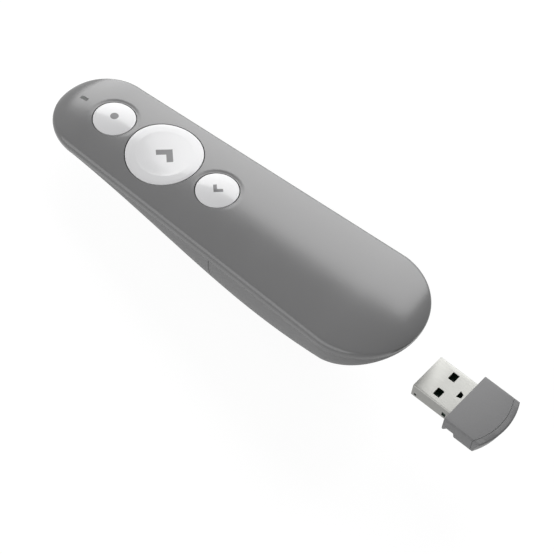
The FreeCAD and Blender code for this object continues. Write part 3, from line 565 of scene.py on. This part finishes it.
def boolean(mesh, tool, operation="DIFFERENCE"):
    """One mesh cut by another, as a new mesh."""
    pair = []
    for name, data in (("work", mesh), ("tool", tool)):
        item = bpy.data.objects.new(name, data)
        scene.collection.objects.link(item)
        pair.append(item)
    step = pair[0].modifiers.new("cut", "BOOLEAN")
    step.operation = operation
    step.solver = "EXACT"
    step.object = pair[1]
    graph = bpy.context.evaluated_depsgraph_get()
    result = bpy.data.meshes.new_from_object(pair[0].evaluated_get(graph))
    for item in pair:
        bpy.data.objects.remove(item)
    return result


FAR = 90.0
HAIRLINE = 0.03
SEAM_ALONG, SEAM_HALF = 56.1, 0.09
PARTING_DROP = 1.2


def along_parting(x, s, z):
    """A frame on the sloping plane where the top meets the belly."""
    cos, sin = math.cos(DECK_SLOPE), math.sin(DECK_SLOPE)
    return lay(x, s * cos + z * sin, RIM_AT_TAIL - PARTING_DROP - s * sin + z * cos)


wide, long = (-FAR, FAR), (-FAR, LENGTH + FAR)
shell = boolean(outer, inner)
top_casing = boolean(shell, block(wide, long, (-FAR, HAIRLINE / 2), along_parting))
under_casing = boolean(shell, block(wide, long, (-HAIRLINE / 2, FAR), along_parting))
print("shell", len(shell.polygons), "top", len(top_casing.polygons), "under", len(under_casing.polygons))

# %% Openings of the top
tools = []
for key, along in KEY_ALONG.items():
    tools.append(rod(KEY_RADIUS[key] + KEY_GAP, -8, 6, on_deck(along), 128))
SLOT_ALONG, SLOT_HALF, SLOT_LONG = 116.9, 0.55, 1.22


def slot_outline(half, long_half, z_low, z_high, where, corner=0.25, steps=5):
    """A small block with rounded corners."""
    ring = []
    for cx, cy, first in ((1, 1, 0), (-1, 1, 90), (-1, -1, 180), (1, -1, 270)):
        for i in range(steps + 1):
            angle = math.radians(first + 90 * i / steps)
            ring.append((cx * (half - corner) + corner * math.cos(angle),
                         cy * (long_half - corner) + corner * math.sin(angle)))
    count = len(ring)
    points = [where(x, y, z_low) for x, y in ring] + [where(x, y, z_high) for x, y in ring]
    faces = [list(range(count)), list(range(count, 2 * count))] + between(0, count, count)
    return mesh_of("slot", points, faces)


tools.append(slot_outline(SLOT_HALF, SLOT_LONG, -5, 3, on_deck(SLOT_ALONG)))
for tool in tools:
    top_casing = boolean(top_casing, tool)
print("top with its openings:", len(top_casing.polygons), "faces")

# %% Belly and battery cover
BAY_HALF, BAY_END, BAY_TOP, BAY_BOTTOM = 9.25, 32.25, 1.15, -5.65
belly = boolean(under_casing, block(wide, (-FAR, SEAM_ALONG + SEAM_HALF), (-FAR, FAR)))
cover = boolean(under_casing, block(wide, (SEAM_ALONG - SEAM_HALF, LENGTH + FAR), (-FAR, FAR)))
cover = boolean(cover, block((-BAY_HALF, BAY_HALF), (-FAR, BAY_END), (BAY_BOTTOM, BAY_TOP)))
SCREW_ACROSS, SCREW_ALONG, SCREW_SEAT, WELL_RADIUS = 8.2, 98.0, -2.2, 1.9
BARREL_ALONG, BARREL_LEVEL, BARREL_BORE = 119.2, -0.288, 1.35


def ahead(x, y, z):
    """A frame in the nose whose third axis points forward."""
    return lay(x, BARREL_ALONG + z, BARREL_LEVEL + y)


for side in (-1, 1):
    belly = boolean(belly, rod(WELL_RADIUS, -30, 0, moved(lay, side * SCREW_ACROSS, SCREW_ALONG, SCREW_SEAT)))
belly = boolean(belly, rod(BARREL_BORE, -3, 10, ahead))
print("belly", len(belly.polygons), "cover", len(cover.polygons))

# %% [markdown]
# A cut leaves faces with many corners, and plain smooth shading shows them as smudges. The uncut pebble
# knows the true slope everywhere, so each corner that still lies on it takes its normal from there.

# %% True normals
source_tree = BVHTree.FromPolygons([v.co for v in outer.vertices], [p.vertices for p in outer.polygons])
SHARP_ANGLE = math.radians(28)
ON_SKIN, SAME_WAY = 0.02, 0.94


def true_normals(mesh):
    """Give each corner on the uncut pebble the pebble's own normal."""
    mesh.set_sharp_from_angle(angle=SHARP_ANGLE)
    mesh.polygons.foreach_set("use_smooth", [True] * len(mesh.polygons))
    normals = [tuple(n.vector) for n in mesh.corner_normals]
    for face in mesh.polygons:
        for loop in face.loop_indices:
            spot = mesh.vertices[mesh.loops[loop].vertex_index].co
            near, facing, index, gap = source_tree.find_nearest(spot)
            if gap > ON_SKIN * MM or facing.dot(face.normal) < SAME_WAY:
                continue
            corners = outer.polygons[index].vertices
            shares = poly_3d_calc([outer.vertices[v].co for v in corners], near)
            smooth = Vector()
            for v, share in zip(corners, shares):
                smooth += outer.vertices[v].normal * share
            normals[loop] = tuple(smooth.normalized())
    mesh.normals_split_custom_set(normals)


def smoothed(mesh, degrees):
    """Smooth shading that breaks where faces meet at a sharper angle."""
    mesh.polygons.foreach_set("use_smooth", [True] * len(mesh.polygons))
    mesh.set_sharp_from_angle(angle=math.radians(degrees))


def finished(name, mesh, material, body, slot, *replaced):
    """Put a mesh in the scene as a piece on its body."""
    mesh.name = name
    mesh.materials.clear()
    mesh.materials.append(material)
    piece = bpy.data.objects.new(name, mesh)
    scene.collection.objects.link(piece)
    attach(piece, body)
    if replaced:
        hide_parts(*replaced)
    return piece


for mesh in (top_casing, belly, cover):
    true_normals(mesh)
finished("top_casing", top_casing, casing_finish, "handset", "soft_grey", "top_shell")
finished("belly_casing", belly, belly_grey_painted_lighter, "handset", "soft_grey", "bottom_shell")
finished("battery_door", cover, belly_grey_painted_lighter, "cover", "soft_grey", "battery_cover")

# %% [markdown]
# ## The keys
# Each key is a round cap with a skirt and a stem over its switch. The large one is dished inside a
# rounded ring that stands a little proud, the small ones are low domes. A turned outline gives both,
# with the edge rounded so that it catches a thin highlight.

# %% Key outlines
STEM_RADIUS, STEM_DEPTH = 1.3, 2.9
SKIRT_DEPTH, SKIRT_WALL = 2.25, 0.9
STEM = [(0, -STEM_DEPTH), (STEM_RADIUS, -STEM_DEPTH)]


def arc(centre_r, centre_z, radius, first, last, steps=6):
    """Points of an arc in the outline."""
    points = []
    for i in range(steps + 1):
        angle = math.radians(first + (last - first) * i / steps)
        points.append((centre_r + radius * math.cos(angle), centre_z + radius * math.sin(angle)))
    return points


def blend(points, steps=8):
    """A smooth curve through points of radius, height and slope."""
    curve = []
    for (r0, z0, m0), (r1, z1, m1) in zip(points, points[1:]):
        for i in range(steps):
            t = i / steps
            span = r1 - r0
            low = (1 + 2 * t) * (1 - t) ** 2 * z0 + t * (1 - t) ** 2 * span * m0
            high = t * t * (3 - 2 * t) * z1 + t * t * (t - 1) * span * m1
            curve.append((r0 + span * t, low + high))
    curve.append(points[-1][:2])
    return curve


def rim(radius, level, edge=0.16):
    """The skirt's foot and the rounded rim of a key."""
    skirt = [(radius - SKIRT_WALL, -SKIRT_DEPTH), (radius - 0.1, -SKIRT_DEPTH), (radius, 0.1 - SKIRT_DEPTH)]
    return skirt + arc(radius - edge, level - edge, edge, 0, 80, 5)


LARGE, SMALL = KEY_RADIUS["next"], KEY_RADIUS["back"]
LARGE_LEVEL, SMALL_LEVEL = 0.03, -0.08
large_top = blend([(LARGE - 0.2, LARGE_LEVEL, -0.1), (9.6, 0.09, 0.0), (8.1, 0.07, 0.02), (7.7, 0.045, 0.10),
                   (4.0, -0.19, 0.045), (0, -0.28, 0.0)])
large_outline = STEM + [(STEM_RADIUS, -1.6), (LARGE - SKIRT_WALL, -1.6)] + rim(LARGE, LARGE_LEVEL) + large_top
small_top = blend([(SMALL - 0.2, SMALL_LEVEL, -0.25), (4.6, 0.13, -0.16), (2.5, 0.37, -0.08), (0, 0.46, 0.0)])
small_outline = STEM + [(STEM_RADIUS, -1.0), (SMALL - SKIRT_WALL, -1.0)] + rim(SMALL, SMALL_LEVEL) + small_top


def on_key(along):
    """A frame like the deck's whose top bends down to the sides with the deck. The skirt's foot stays."""
    where, drop = on_deck(along), crown_drop(along)
    return lambda x, y, z: where(x, y, z - drop * x * x * min(max(z / SKIRT_DEPTH + 1, 0), 1))


# %% [markdown]
# The marks on the keys are printed in grey: a dot, a chevron to the right and a chevron to the left.
# Each is a mask worked out from distances in the key's own plane, so its edge stays crisp at any size.

# %% Key finish with its mark
KEY_WHITE = (0.77, 0.77, 0.78, 1)
MARK_GREY = (0.075, 0.075, 0.08, 1)
EDGE_SOFT = 0.05


def key_finish(name, along, mask_of):
    """Polished white with a printed mark. The mask is a function of right and forward, in mm."""
    material, shader, where = start_material(name)
    centre = on_deck(along)(0, 0, 0) / MM
    ahead_of = (on_deck(along)(0, 1, 0) - on_deck(along)(0, 0, 0)) / MM
    apart = [where.axis(i) / MM - centre[i] for i in range(3)]
    forward = apart[1] * ahead_of[1] + apart[2] * ahead_of[2]
    mask = mask_of(apart[0], forward)
    fine = noise(where, 0.5, 3.0)
    slow = noise(where, 6.0, 2.0)
    base = slow.mix([c * 0.985 for c in KEY_WHITE[:3]] + [1], KEY_WHITE)
    plug_in(shader, "Base Color", mask.mix(base, MARK_GREY))
    plug_in(shader, "Roughness", mask * 0.18 + (fine - 0.5) * 0.05 + 0.24)
    plug_in(shader, "Normal", bumped(fine, 0.0015))
    plug_in(shader, "Coat Weight", 0.6)
    plug_in(shader, "Coat Roughness", 0.1)
    return material


DOT_RIGHT, DOT_AHEAD, DOT_RADIUS = 0.3, 0.25, 1.18


def dot_mask(x, y):
    """A dot just off the middle."""
    off_x, off_y = x - DOT_RIGHT, y - DOT_AHEAD
    apart = (off_x * off_x + off_y * off_y).maths("SQRT")
    return (0.5 - (apart - DOT_RADIUS) / EDGE_SOFT).clamp()


def chevron_mask(tip, heading, length, width):
    """A right-angled chevron. Heading is 1 where its tip points right, -1 where it points left."""

    def mask(x, y):
        level, rise = (x - tip[0]) * -heading, y - tip[1]
        first = (level + rise) * math.sqrt(0.5)
        second = (level - rise) * math.sqrt(0.5)

        def bar(a, b):
            far = ((a - length / 2).maths("ABSOLUTE") - length / 2)
            near = ((b - width / 2).maths("ABSOLUTE") - width / 2)
            return far.maths("MAXIMUM", near)

        gap = bar(first, second).maths("MINIMUM", bar(second, first))
        return (0.5 - gap / EDGE_SOFT).clamp()

    return mask


MARKS = {
    "laser": dot_mask,
    "next": chevron_mask((2.61, -0.55), 1, 4.55, 1.8),
    "back": chevron_mask((-1.52, -0.02), -1, 2.6, 1.0),
}
for key, along in KEY_ALONG.items():
    outline = large_outline if key == "next" else small_outline
    cap = turned(outline, on_key(along), 144 if key == "next" else 112)
    smoothed(cap, 40)
    finished(f"{key}_cap", cap, key_finish(f"{key} white", along, MARKS[key]), f"{key}_key", "key_white",
             f"{key}_button")
print("keys:", len(large_outline), "points in the large outline,", len(small_outline), "in the small one")

# %% [markdown]
# ## The light slot
# A short clear bar carries the status light up to the deck. It stops a little below the surface, and its
# colour is a dark grey painted shade, so the slot reads as a small dark recess with a grey floor.

# %% Light bar
light_bar_painted_shade = moulded("light bar painted dark", (0.07, 0.073, 0.07), 0.35, grain=0.05, depth=0.002)
BAR_GAP, BAR_FOOT, BAR_TOP = 0.06, -3.4, -0.5
bar_mesh = slot_outline(SLOT_HALF - BAR_GAP, SLOT_LONG - BAR_GAP, BAR_FOOT, BAR_TOP, on_deck(SLOT_ALONG), 0.2)
smoothed(bar_mesh, 40)
finished("light_bar", bar_mesh, light_bar_painted_shade, "handset", "light_pipe", "light_pipe")

# %% [markdown]
# ## The receiver
# It lies pulled out in line with the tail: a folded metal plug and a grey body with a curved end. The
# plug is a sheet folded into a tube, so it is drawn as a rounded outline with a wall, and its windows,
# latch hole and side holes are cut through.

# %% Plug of the receiver
TIP, ROOT, APEX = -5.5, -17.5, -31.1
PLUG_HALF, PLUG_HIGH, PLUG_SKIN, PLUG_CORNER = 6.0, 4.5, 0.3, 0.38


def rounded_ring(half, low, high, corner, steps=8):
    """A rounded outline across the receiver: x and z."""
    ring = []
    for cx, cz, first in ((half, high, 0), (-half, high, 90), (-half, low, 180), (half, low, 270)):
        for i in range(steps + 1):
            angle = math.radians(first + 90 * i / steps)
            inward_x = cx - math.copysign(corner, cx)
            inward_z = cz - corner if cz == high else cz + corner
            ring.append((inward_x + corner * math.cos(angle), inward_z + corner * math.sin(angle)))
    return ring


def lofted(loops):
    """A closed tube skin through loops of points, joined last to first."""
    points, faces = [], []
    count = len(loops[0])
    for loop in loops:
        points += loop
    for i in range(len(loops)):
        faces += between(i * count, (i + 1) % len(loops) * count, count)
    return mesh_of("lofted", points, faces)


def ring_at(s, inset):
    """A loop of the plug's tube at a station: inset from the outside of the sheet."""
    ring = rounded_ring(PLUG_HALF - inset, -PLUG_HIGH + inset, -inset, max(PLUG_CORNER - inset, 0.15))
    return [lay(x, s, z) for x, z in ring]


PLUG_INSIDE = 2.5
plug = lofted([ring_at(ROOT - PLUG_INSIDE, 0),
               ring_at(TIP - 0.12, 0), ring_at(TIP - 0.03, 0.04), ring_at(TIP, 0.11),
               ring_at(TIP, 0.2), ring_at(TIP - 0.03, 0.26), ring_at(TIP - 0.12, PLUG_SKIN),
               ring_at(ROOT - PLUG_INSIDE, PLUG_SKIN)])


def along_plug(x, y, z):
    """A frame on the plug: y measured back from its tip."""
    return lay(x, TIP - y, z)


def into_side(side, behind, level):
    """A frame on the plug's side, behind its tip, whose third axis points to the right."""
    return lambda x, y, z: along_plug(side * PLUG_HALF + z, behind + x, level + y)


WINDOW_NEAR, WINDOW_FAR, WINDOW_BEHIND, WINDOW_HALF = 1.9, 4.45, 6.25, 1.0
HOLE_BEHIND, HOLE_LEVEL = 10.5, -2.75
DIMPLE_BEHIND, DIMPLE_LEVEL = 1.25, -3.3
for side in (-1, 1):
    window = moved(along_plug, side * (WINDOW_NEAR + WINDOW_FAR) / 2, WINDOW_BEHIND, 0)
    plug = boolean(plug, slot_outline((WINDOW_FAR - WINDOW_NEAR) / 2, WINDOW_HALF, -6, 2, window, 0.18))
    hole = into_side(side, HOLE_BEHIND, HOLE_LEVEL)
    plug = boolean(plug, slot_outline(0.6, 0.75, -1.5, 1.5, hole, 0.12))
latch_ring = [(-1.1, 10.22), (1.15, 10.22), (0.7, 11.4), (-0.6, 11.55)]
latch_points = [along_plug(x, y, z) for z in (-0.6, 0.4) for x, y in latch_ring]
CUBE_FACES = [(0, 1, 2, 3), (4, 5, 6, 7), (0, 1, 5, 4), (1, 2, 6, 5), (2, 3, 7, 6), (3, 0, 4, 7)]
plug = boolean(plug, mesh_of("latch", latch_points, CUBE_FACES))
dimple_outline = [(0, -0.22), (0.28, -0.16), (0.42, 0.0), (0.42, 0.6), (0, 0.6)]
for side in (-1, 1):
    plug = boolean(plug, turned(dimple_outline, into_side(side, DIMPLE_BEHIND, DIMPLE_LEVEL), 32))
FLAT_AREA = 2.0 * MM * MM
plug.polygons.foreach_set("use_smooth", [face.area < FLAT_AREA for face in plug.polygons])
plug.set_sharp_from_angle(angle=math.radians(30))

# %% [markdown]
# The plug is satin nickel over steel: warm and pale, with fine rolling marks along it. Its colour is painted
# darker than nickel, a painted shade that keeps its reflection of the lamp below white. The marks come from
# noise that is stretched a long way in one direction.

# %% Plug finish


def rolled_metal(name, colour, roughness, grain=(0.25, 6.0, 0.25), depth=0.0015):
    """A plated sheet with marks along the object's length."""
    material, shader, where = start_material(name)
    scaled = where.add("ShaderNodeMapping", {}, {"Vector": where, "Scale": [1 / (g * MM) for g in grain]})
    marks = where.add("ShaderNodeTexNoise", {}, {"Vector": scaled, "Scale": 1.0, "Detail": 3.0})
    slow = noise(where, 5.0, 2.0)
    darker, lighter = [c * 0.97 for c in colour] + [1], [min(c * 1.02, 1) for c in colour] + [1]
    plug_in(shader, "Base Color", slow.mix(darker, lighter))
    plug_in(shader, "Roughness", (marks - 0.5) * 0.14 + (slow - 0.5) * 0.05 + roughness)
    plug_in(shader, "Metallic", 1.0)
    plug_in(shader, "Normal", bumped(marks, depth))
    return material


# The plug's colour is painted darker than its nickel: painted shade.
plug_nickel_painted_darker = rolled_metal("plug nickel painted darker", (0.32, 0.32, 0.306), 0.46)
finished("plug_sleeve", plug, plug_nickel_painted_darker, "receiver", "plug_steel", "usb_shell")

# %% [markdown]
# The receiver's grey body is a bar with a softly arched top and a well rounded foot. A wide turned disc
# with the same kind of edge, taken in common with the bar, gives the curved end. The end is a separate
# cap, and the fine groove between them is left open.

# %% Body of the receiver
HOUSING_HALF, HOUSING_TOP, HOUSING_BOTTOM = 8.9, 0.8, -5.3
END_RADIUS, END_THICK, GROOVE = 19.5, 1.65, 0.10
END_CENTRE = APEX + END_RADIUS
TOP_ROUND, FOOT_ROUND, END_ROUND, TOP_ARCH = 0.5, 2.05, 0.5, 0.1
FRONT = ROOT - 0.25
END_TAPER = 0.28


def housing_ring(inset):
    """The outline across the body: x and z, from the top's middle to the right and round."""
    half, low = HOUSING_HALF - inset, HOUSING_BOTTOM + inset
    shoulder = HOUSING_TOP - TOP_ARCH - inset
    flat = half - TOP_ROUND
    side = [(flat * i / 12, shoulder + TOP_ARCH * (1 - (i / 12) ** 2)) for i in range(12)]
    side += arc(flat, shoulder - TOP_ROUND, TOP_ROUND, 88, 0, 10)
    side += arc(half - FOOT_ROUND, low + FOOT_ROUND, FOOT_ROUND, 0, -90, 12)
    return side + [(-x, z) for x, z in reversed(side[1:])]


def housing_bar():
    """The body as a straight bar past its curved end, its front edge slightly eased."""
    stations = [(FRONT, 0.12), (FRONT - 0.04, 0.04), (FRONT - 0.14, 0.0), (APEX - 4, 0.0)]
    loops = [[lay(x, s, z) for x, z in housing_ring(inset)] for s, inset in stations]
    count = len(loops[0])
    points = [point for loop in loops for point in loop]
    faces = [list(range(count)), list(range(len(points) - count, len(points)))]
    for i in range(len(loops) - 1):
        faces += between(i * count, (i + 1) * count, count)
    return mesh_of("housing", points, faces)


def disc(outline):
    """A turned shape about the centre of the curved end."""
    return turned(outline, lambda x, y, z: lay(x, END_CENTRE + y, z), 384)


def plain_disc(radius):
    """A tall disc with straight sides."""
    return disc([(0, -20), (radius, -20), (radius, 20), (0, 20)])


def notch(side):
    """The shallow notch low in one side, with sloping ends and a wall that leans in downwards."""
    out, slope, lean = HOUSING_HALF + 3, 0.6, 0.42
    near, far, roof, floor = ROOT - 1.0, ROOT - 3.6, -2.2, -9
    points = []
    for z in (floor, roof):
        deep = HOUSING_HALF - 0.3 - lean * (roof - z)
        ends = slope * (out - deep)
        plan = ((deep, near), (deep, far), (out, far - ends), (out, near + ends))
        points += [lay(side * x, s, z) for x, s in plan]
    return mesh_of("notch", points, CUBE_FACES)


foot_level = HOUSING_BOTTOM + FOOT_ROUND
foot_drop = HOUSING_TOP - END_ROUND - foot_level
foot_middle = END_RADIUS - END_TAPER * foot_drop - FOOT_ROUND * math.hypot(1, END_TAPER)
rounded_end = [(0, HOUSING_BOTTOM - 1), (foot_middle, HOUSING_BOTTOM - 1)]
rounded_end += arc(foot_middle, foot_level, FOOT_ROUND, -90, -math.degrees(math.atan(END_TAPER)), 12)
rounded_end += arc(END_RADIUS - END_ROUND, HOUSING_TOP - END_ROUND, END_ROUND, 0, 90, 6)
rounded_end += [(END_RADIUS - END_ROUND, 3), (0, 3)]
blank = boolean(housing_bar(), disc(rounded_end), "INTERSECT")
housing = boolean(blank, plain_disc(END_RADIUS - END_THICK - GROOVE), "INTERSECT")
for side in (-1, 1):
    housing = boolean(housing, notch(side))
hollow = block((-6.1, 6.1), (-26.0, ROOT + 3), (-4.6, 0.1))
housing = boolean(housing, hollow)
end_cap = boolean(blank, plain_disc(END_RADIUS - END_THICK))
smoothed(housing, 30)
smoothed(end_cap, 30)
finished("receiver_body", housing, receiver_finish, "receiver", "receiver_grey", "receiver_housing")
finished("receiver_end", end_cap, receiver_finish, "receiver", "receiver_grey", "receiver_end_cap")
print("receiver:", len(plug.polygons), "faces in the plug,", len(housing.polygons), "in the body")

# %% [markdown]
# ## The pieces inside
# They show when the cover slides off or the receiver is out, so each keeps its CAD shape and gets its
# own finish: moulded black, green solder mask, plated contacts, brass, and printed film on the cells.

# %% Finishes of the inner pieces
black_finish = moulded("moulded black", (0.028, 0.028, 0.030), 0.46, grain=0.14, depth=0.004)
tongue_finish = moulded("tongue black", (0.004, 0.022, 0.012), 0.32, grain=0.2, depth=0.003)
chip_finish = moulded("chip epoxy", (0.018, 0.018, 0.020), 0.5, grain=0.05, depth=0.003)
led_finish = moulded("led resin", (0.74, 0.76, 0.68), 0.3, grain=0.08, depth=0.002)
nickel_finish = rolled_metal("contact nickel", (0.70, 0.69, 0.65), 0.32, (0.15, 3.0, 0.15))
steel_finish = rolled_metal("blackened steel", (0.26, 0.26, 0.27), 0.4, (0.1, 0.1, 2.0))
brass_finish = rolled_metal("turned brass", (0.74, 0.55, 0.25), 0.3, (3.0, 0.12, 3.0))


def glass_finish(name, colour, roughness):
    """Clear or tinted glass with faint unevenness."""
    material, shader, where = start_material(name)
    fine = noise(where, 0.6, 2.0)
    plug_in(shader, "Base Color", fine.mix([c * 0.97 for c in colour] + [1], list(colour) + [1]))
    plug_in(shader, "Roughness", (fine - 0.5) * 0.04 + roughness)
    plug_in(shader, "Transmission Weight", 0.9)
    plug_in(shader, "IOR", 1.49)
    plug_in(shader, "Normal", bumped(fine, 0.0006))
    return material


lens_finish = glass_finish("clear glass", (0.93, 0.95, 0.96), 0.06)
window_finish = glass_finish("dark window", (0.10, 0.02, 0.02), 0.1)
GOLD_LENGTH, STRIP_LEVEL = 4.9, -2.2


def strip_finish():
    """Contact strips: gold at the front of the plug, dark green behind."""
    material, shader, where = start_material("gold flash")
    along = where.axis(1) / MM - lay(0, TIP - GOLD_LENGTH, STRIP_LEVEL)[1] / MM
    bare = (along / EDGE_SOFT).clamp()
    fine = noise(where, 0.3, 2.0)
    plug_in(shader, "Base Color", bare.mix((0.004, 0.020, 0.012, 1), (0.83, 0.62, 0.25, 1)))
    plug_in(shader, "Metallic", bare)
    plug_in(shader, "Roughness", (fine - 0.5) * 0.1 + 0.3)
    return material


CLEAR_MASK, OVER_TRACK = (0.012, 0.10, 0.04, 1), (0.03, 0.19, 0.075, 1)


def board_finish():
    """Green solder mask over faint copper tracks."""
    material, shader, where = start_material("solder mask")
    tracks = where.add("ShaderNodeTexBrick", {"offset": 0.5}, {
        "Vector": where, "Scale": 1 / (2.4 * MM), "Mortar Size": 0.09, "Brick Width": 0.9,
        "Row Height": 0.35, "Color1": (0, 0, 0, 1), "Color2": (0, 0, 0, 1), "Mortar": (1, 1, 1, 1)}, 1)
    fine = noise(where, 0.2, 2.0)
    plug_in(shader, "Base Color", tracks.mix(CLEAR_MASK, OVER_TRACK))
    plug_in(shader, "Roughness", (fine - 0.5) * 0.1 + 0.34)
    plug_in(shader, "Normal", bumped(tracks, 0.02))
    return material


CELLS_ALONG = 33.85
CAP_END, BAND_START, BAND_END = 0.7, 33.0, 42.9


def cell_finish(name, start, heading):
    """A cell's film: dark, with a coppery band by the plus end and bare metal at both ends."""
    material, shader, where = start_material(name)
    begin = lay(0, start, 0) / MM
    ahead_of = (lay(0, 1, 0) - lay(0, 0, 0)) / MM * heading
    apart = [where.axis(i) / MM - begin[i] for i in (1, 2)]
    along = apart[0] * ahead_of[1] + apart[1] * ahead_of[2]
    past_cap, past_start, past_end = (((along - place) / EDGE_SOFT).clamp()
                                      for place in (CAP_END, BAND_START, BAND_END))
    band = past_start * (1 - past_end)
    bare = (1 - past_cap) + past_end
    film = band.mix((0.03, 0.03, 0.034, 1), (0.55, 0.26, 0.10, 1))
    fine = noise(where, 0.4, 3.0)
    plug_in(shader, "Base Color", bare.clamp().mix(film, (0.66, 0.65, 0.62, 1)))
    plug_in(shader, "Metallic", (bare + band * 0.8).clamp())
    plug_in(shader, "Roughness", (fine - 0.5) * 0.12 + 0.3)
    plug_in(shader, "Normal", bumped(fine, 0.003))
    return material


FINISHES = {
    "battery_cradle": black_finish, "laser_switch": black_finish, "next_switch": black_finish,
    "back_switch": black_finish, "case_screws": steel_finish, "main_board": board_finish(),
    "controller_chip": chip_finish, "crystal_can": nickel_finish, "status_led": led_finish,
    "laser_barrel": brass_finish, "laser_lens": lens_finish, "laser_window": window_finish,
    "battery_left": cell_finish("left cell", CELLS_ALONG + 2.4, 1),
    "battery_right": cell_finish("right cell", CELLS_ALONG + 44.5, -1),
    "bridge_contact": nickel_finish, "positive_contact": nickel_finish, "negative_contact": nickel_finish,
    "rear_spring": nickel_finish, "front_spring": nickel_finish, "usb_tongue": tongue_finish,
    "usb_contacts": strip_finish(),
}
FINISHES["receiver_board"] = FINISHES["main_board"]
for node, material in FINISHES.items():
    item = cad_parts[node]
    item.data.materials.clear()
    item.data.materials.append(material)
print(len(FINISHES), "CAD pieces carry their own finish")

# %% [markdown]
# ## Floor and light
# The photograph is a cut-out on white. The floor is pale, and the camera sees it white through Is Camera
# Ray while it still keeps the object's soft shadow. One large soft lamp stands beyond the handset, low
# enough to mirror in the far half of the arched top, and a dim one fills the near side.

# %% Floor, world and lamps


def seen_rays(tree):
    """A wire that is 1 for a ray from the camera, also after glass or a glossy surface."""
    paths = tree.nodes.new("ShaderNodeLightPath")
    seen, mirrored, through = (Wire(tree, paths.outputs[f"Is {kind} Ray"])
                               for kind in ("Camera", "Glossy", "Transmission"))
    return (seen + mirrored + through).clamp()


def white_to_camera(name, colour, glow, share):
    """A pale floor that the camera sees near white, with a light shadow."""
    material = bpy.data.materials.new(name)
    material.use_nodes = True
    tree = material.node_tree
    shader = next(n for n in tree.nodes if n.type == "BSDF_PRINCIPLED")
    shader.inputs["Roughness"].default_value = 0.9
    shader.inputs["Specular IOR Level"].default_value = 0.1
    shader.inputs["Base Color"].default_value = colour
    surface = Wire(tree, shader.outputs["BSDF"])
    light = surface.add("ShaderNodeEmission", {}, {"Color": (1, 1, 1, 1), "Strength": glow})
    chosen = surface.add("ShaderNodeMixShader", {}, {0: seen_rays(tree) * share, 1: surface, 2: light})
    out = next(n for n in tree.nodes if n.type == "OUTPUT_MATERIAL")
    tree.links.new(chosen.socket, out.inputs["Surface"])
    return material


FLOOR_GREY, FLOOR_GLOW, FLOOR_SHARE, FLOOR_HALF = (0.78, 0.78, 0.78, 1), 1.15, 0.8, 3
corners = [(x * FLOOR_HALF, y * FLOOR_HALF, 0) for x, y in ((-1, -1), (1, -1), (1, 1), (-1, 1))]
floor_mesh = bpy.data.meshes.new("floor")
floor_mesh.from_pydata(corners, [], [(0, 1, 2, 3)])
floor_mesh.materials.append(white_to_camera("pale floor", FLOOR_GREY, FLOOR_GLOW, FLOOR_SHARE))
floor = bpy.data.objects.new("floor", floor_mesh)
scene.collection.objects.link(floor)

world = bpy.data.worlds.new("studio")
scene.world = world
world.use_nodes = True
sky = world.node_tree
background = next(n for n in sky.nodes if n.type == "BACKGROUND")
background.inputs["Color"].default_value = (1, 1, 1, 1)
WORLD_LEVEL = 0.21
strength = seen_rays(sky) * (1 - WORLD_LEVEL) + WORLD_LEVEL
sky.links.new(strength.socket, background.inputs["Strength"])


def direction(azimuth, elevation):
    """A unit vector from two angles in degrees."""
    azimuth, elevation = math.radians(azimuth), math.radians(elevation)
    flat = math.cos(elevation)
    return Vector((flat * math.cos(azimuth), flat * math.sin(azimuth), math.sin(elevation)))


def soft_lamp(name, middle, upper, distance, size, power):
    """A large rectangular lamp facing the object, its upper edge towards a second direction."""
    light = bpy.data.lights.new(name, "AREA")
    light.shape = "RECTANGLE"
    light.size, light.size_y = size
    light.energy = power
    lamp = bpy.data.objects.new(name, light)
    out = direction(*middle)
    up = direction(*upper)
    up = (up - out * up.dot(out)).normalized()
    turn = Matrix((up.cross(out), up, out)).transposed()
    lamp.matrix_world = Matrix.Translation(out * distance) @ turn.to_4x4()
    scene.collection.objects.link(lamp)
    return lamp


LAMP_DISTANCE = 1.2
soft_lamp("far softbox", (31.6, 28.6), (46.5, 46.6), LAMP_DISTANCE, (1.22, 1.0), 13.0)
soft_lamp("near fill", (165, 24), (165, 60), LAMP_DISTANCE, (2.0, 1.0), 8.5)

# %% [markdown]
# ## Last steps
# The view transform is Standard, so a colour renders about as it is written.

# %% Finish
scene.view_settings.view_transform = "Standard"
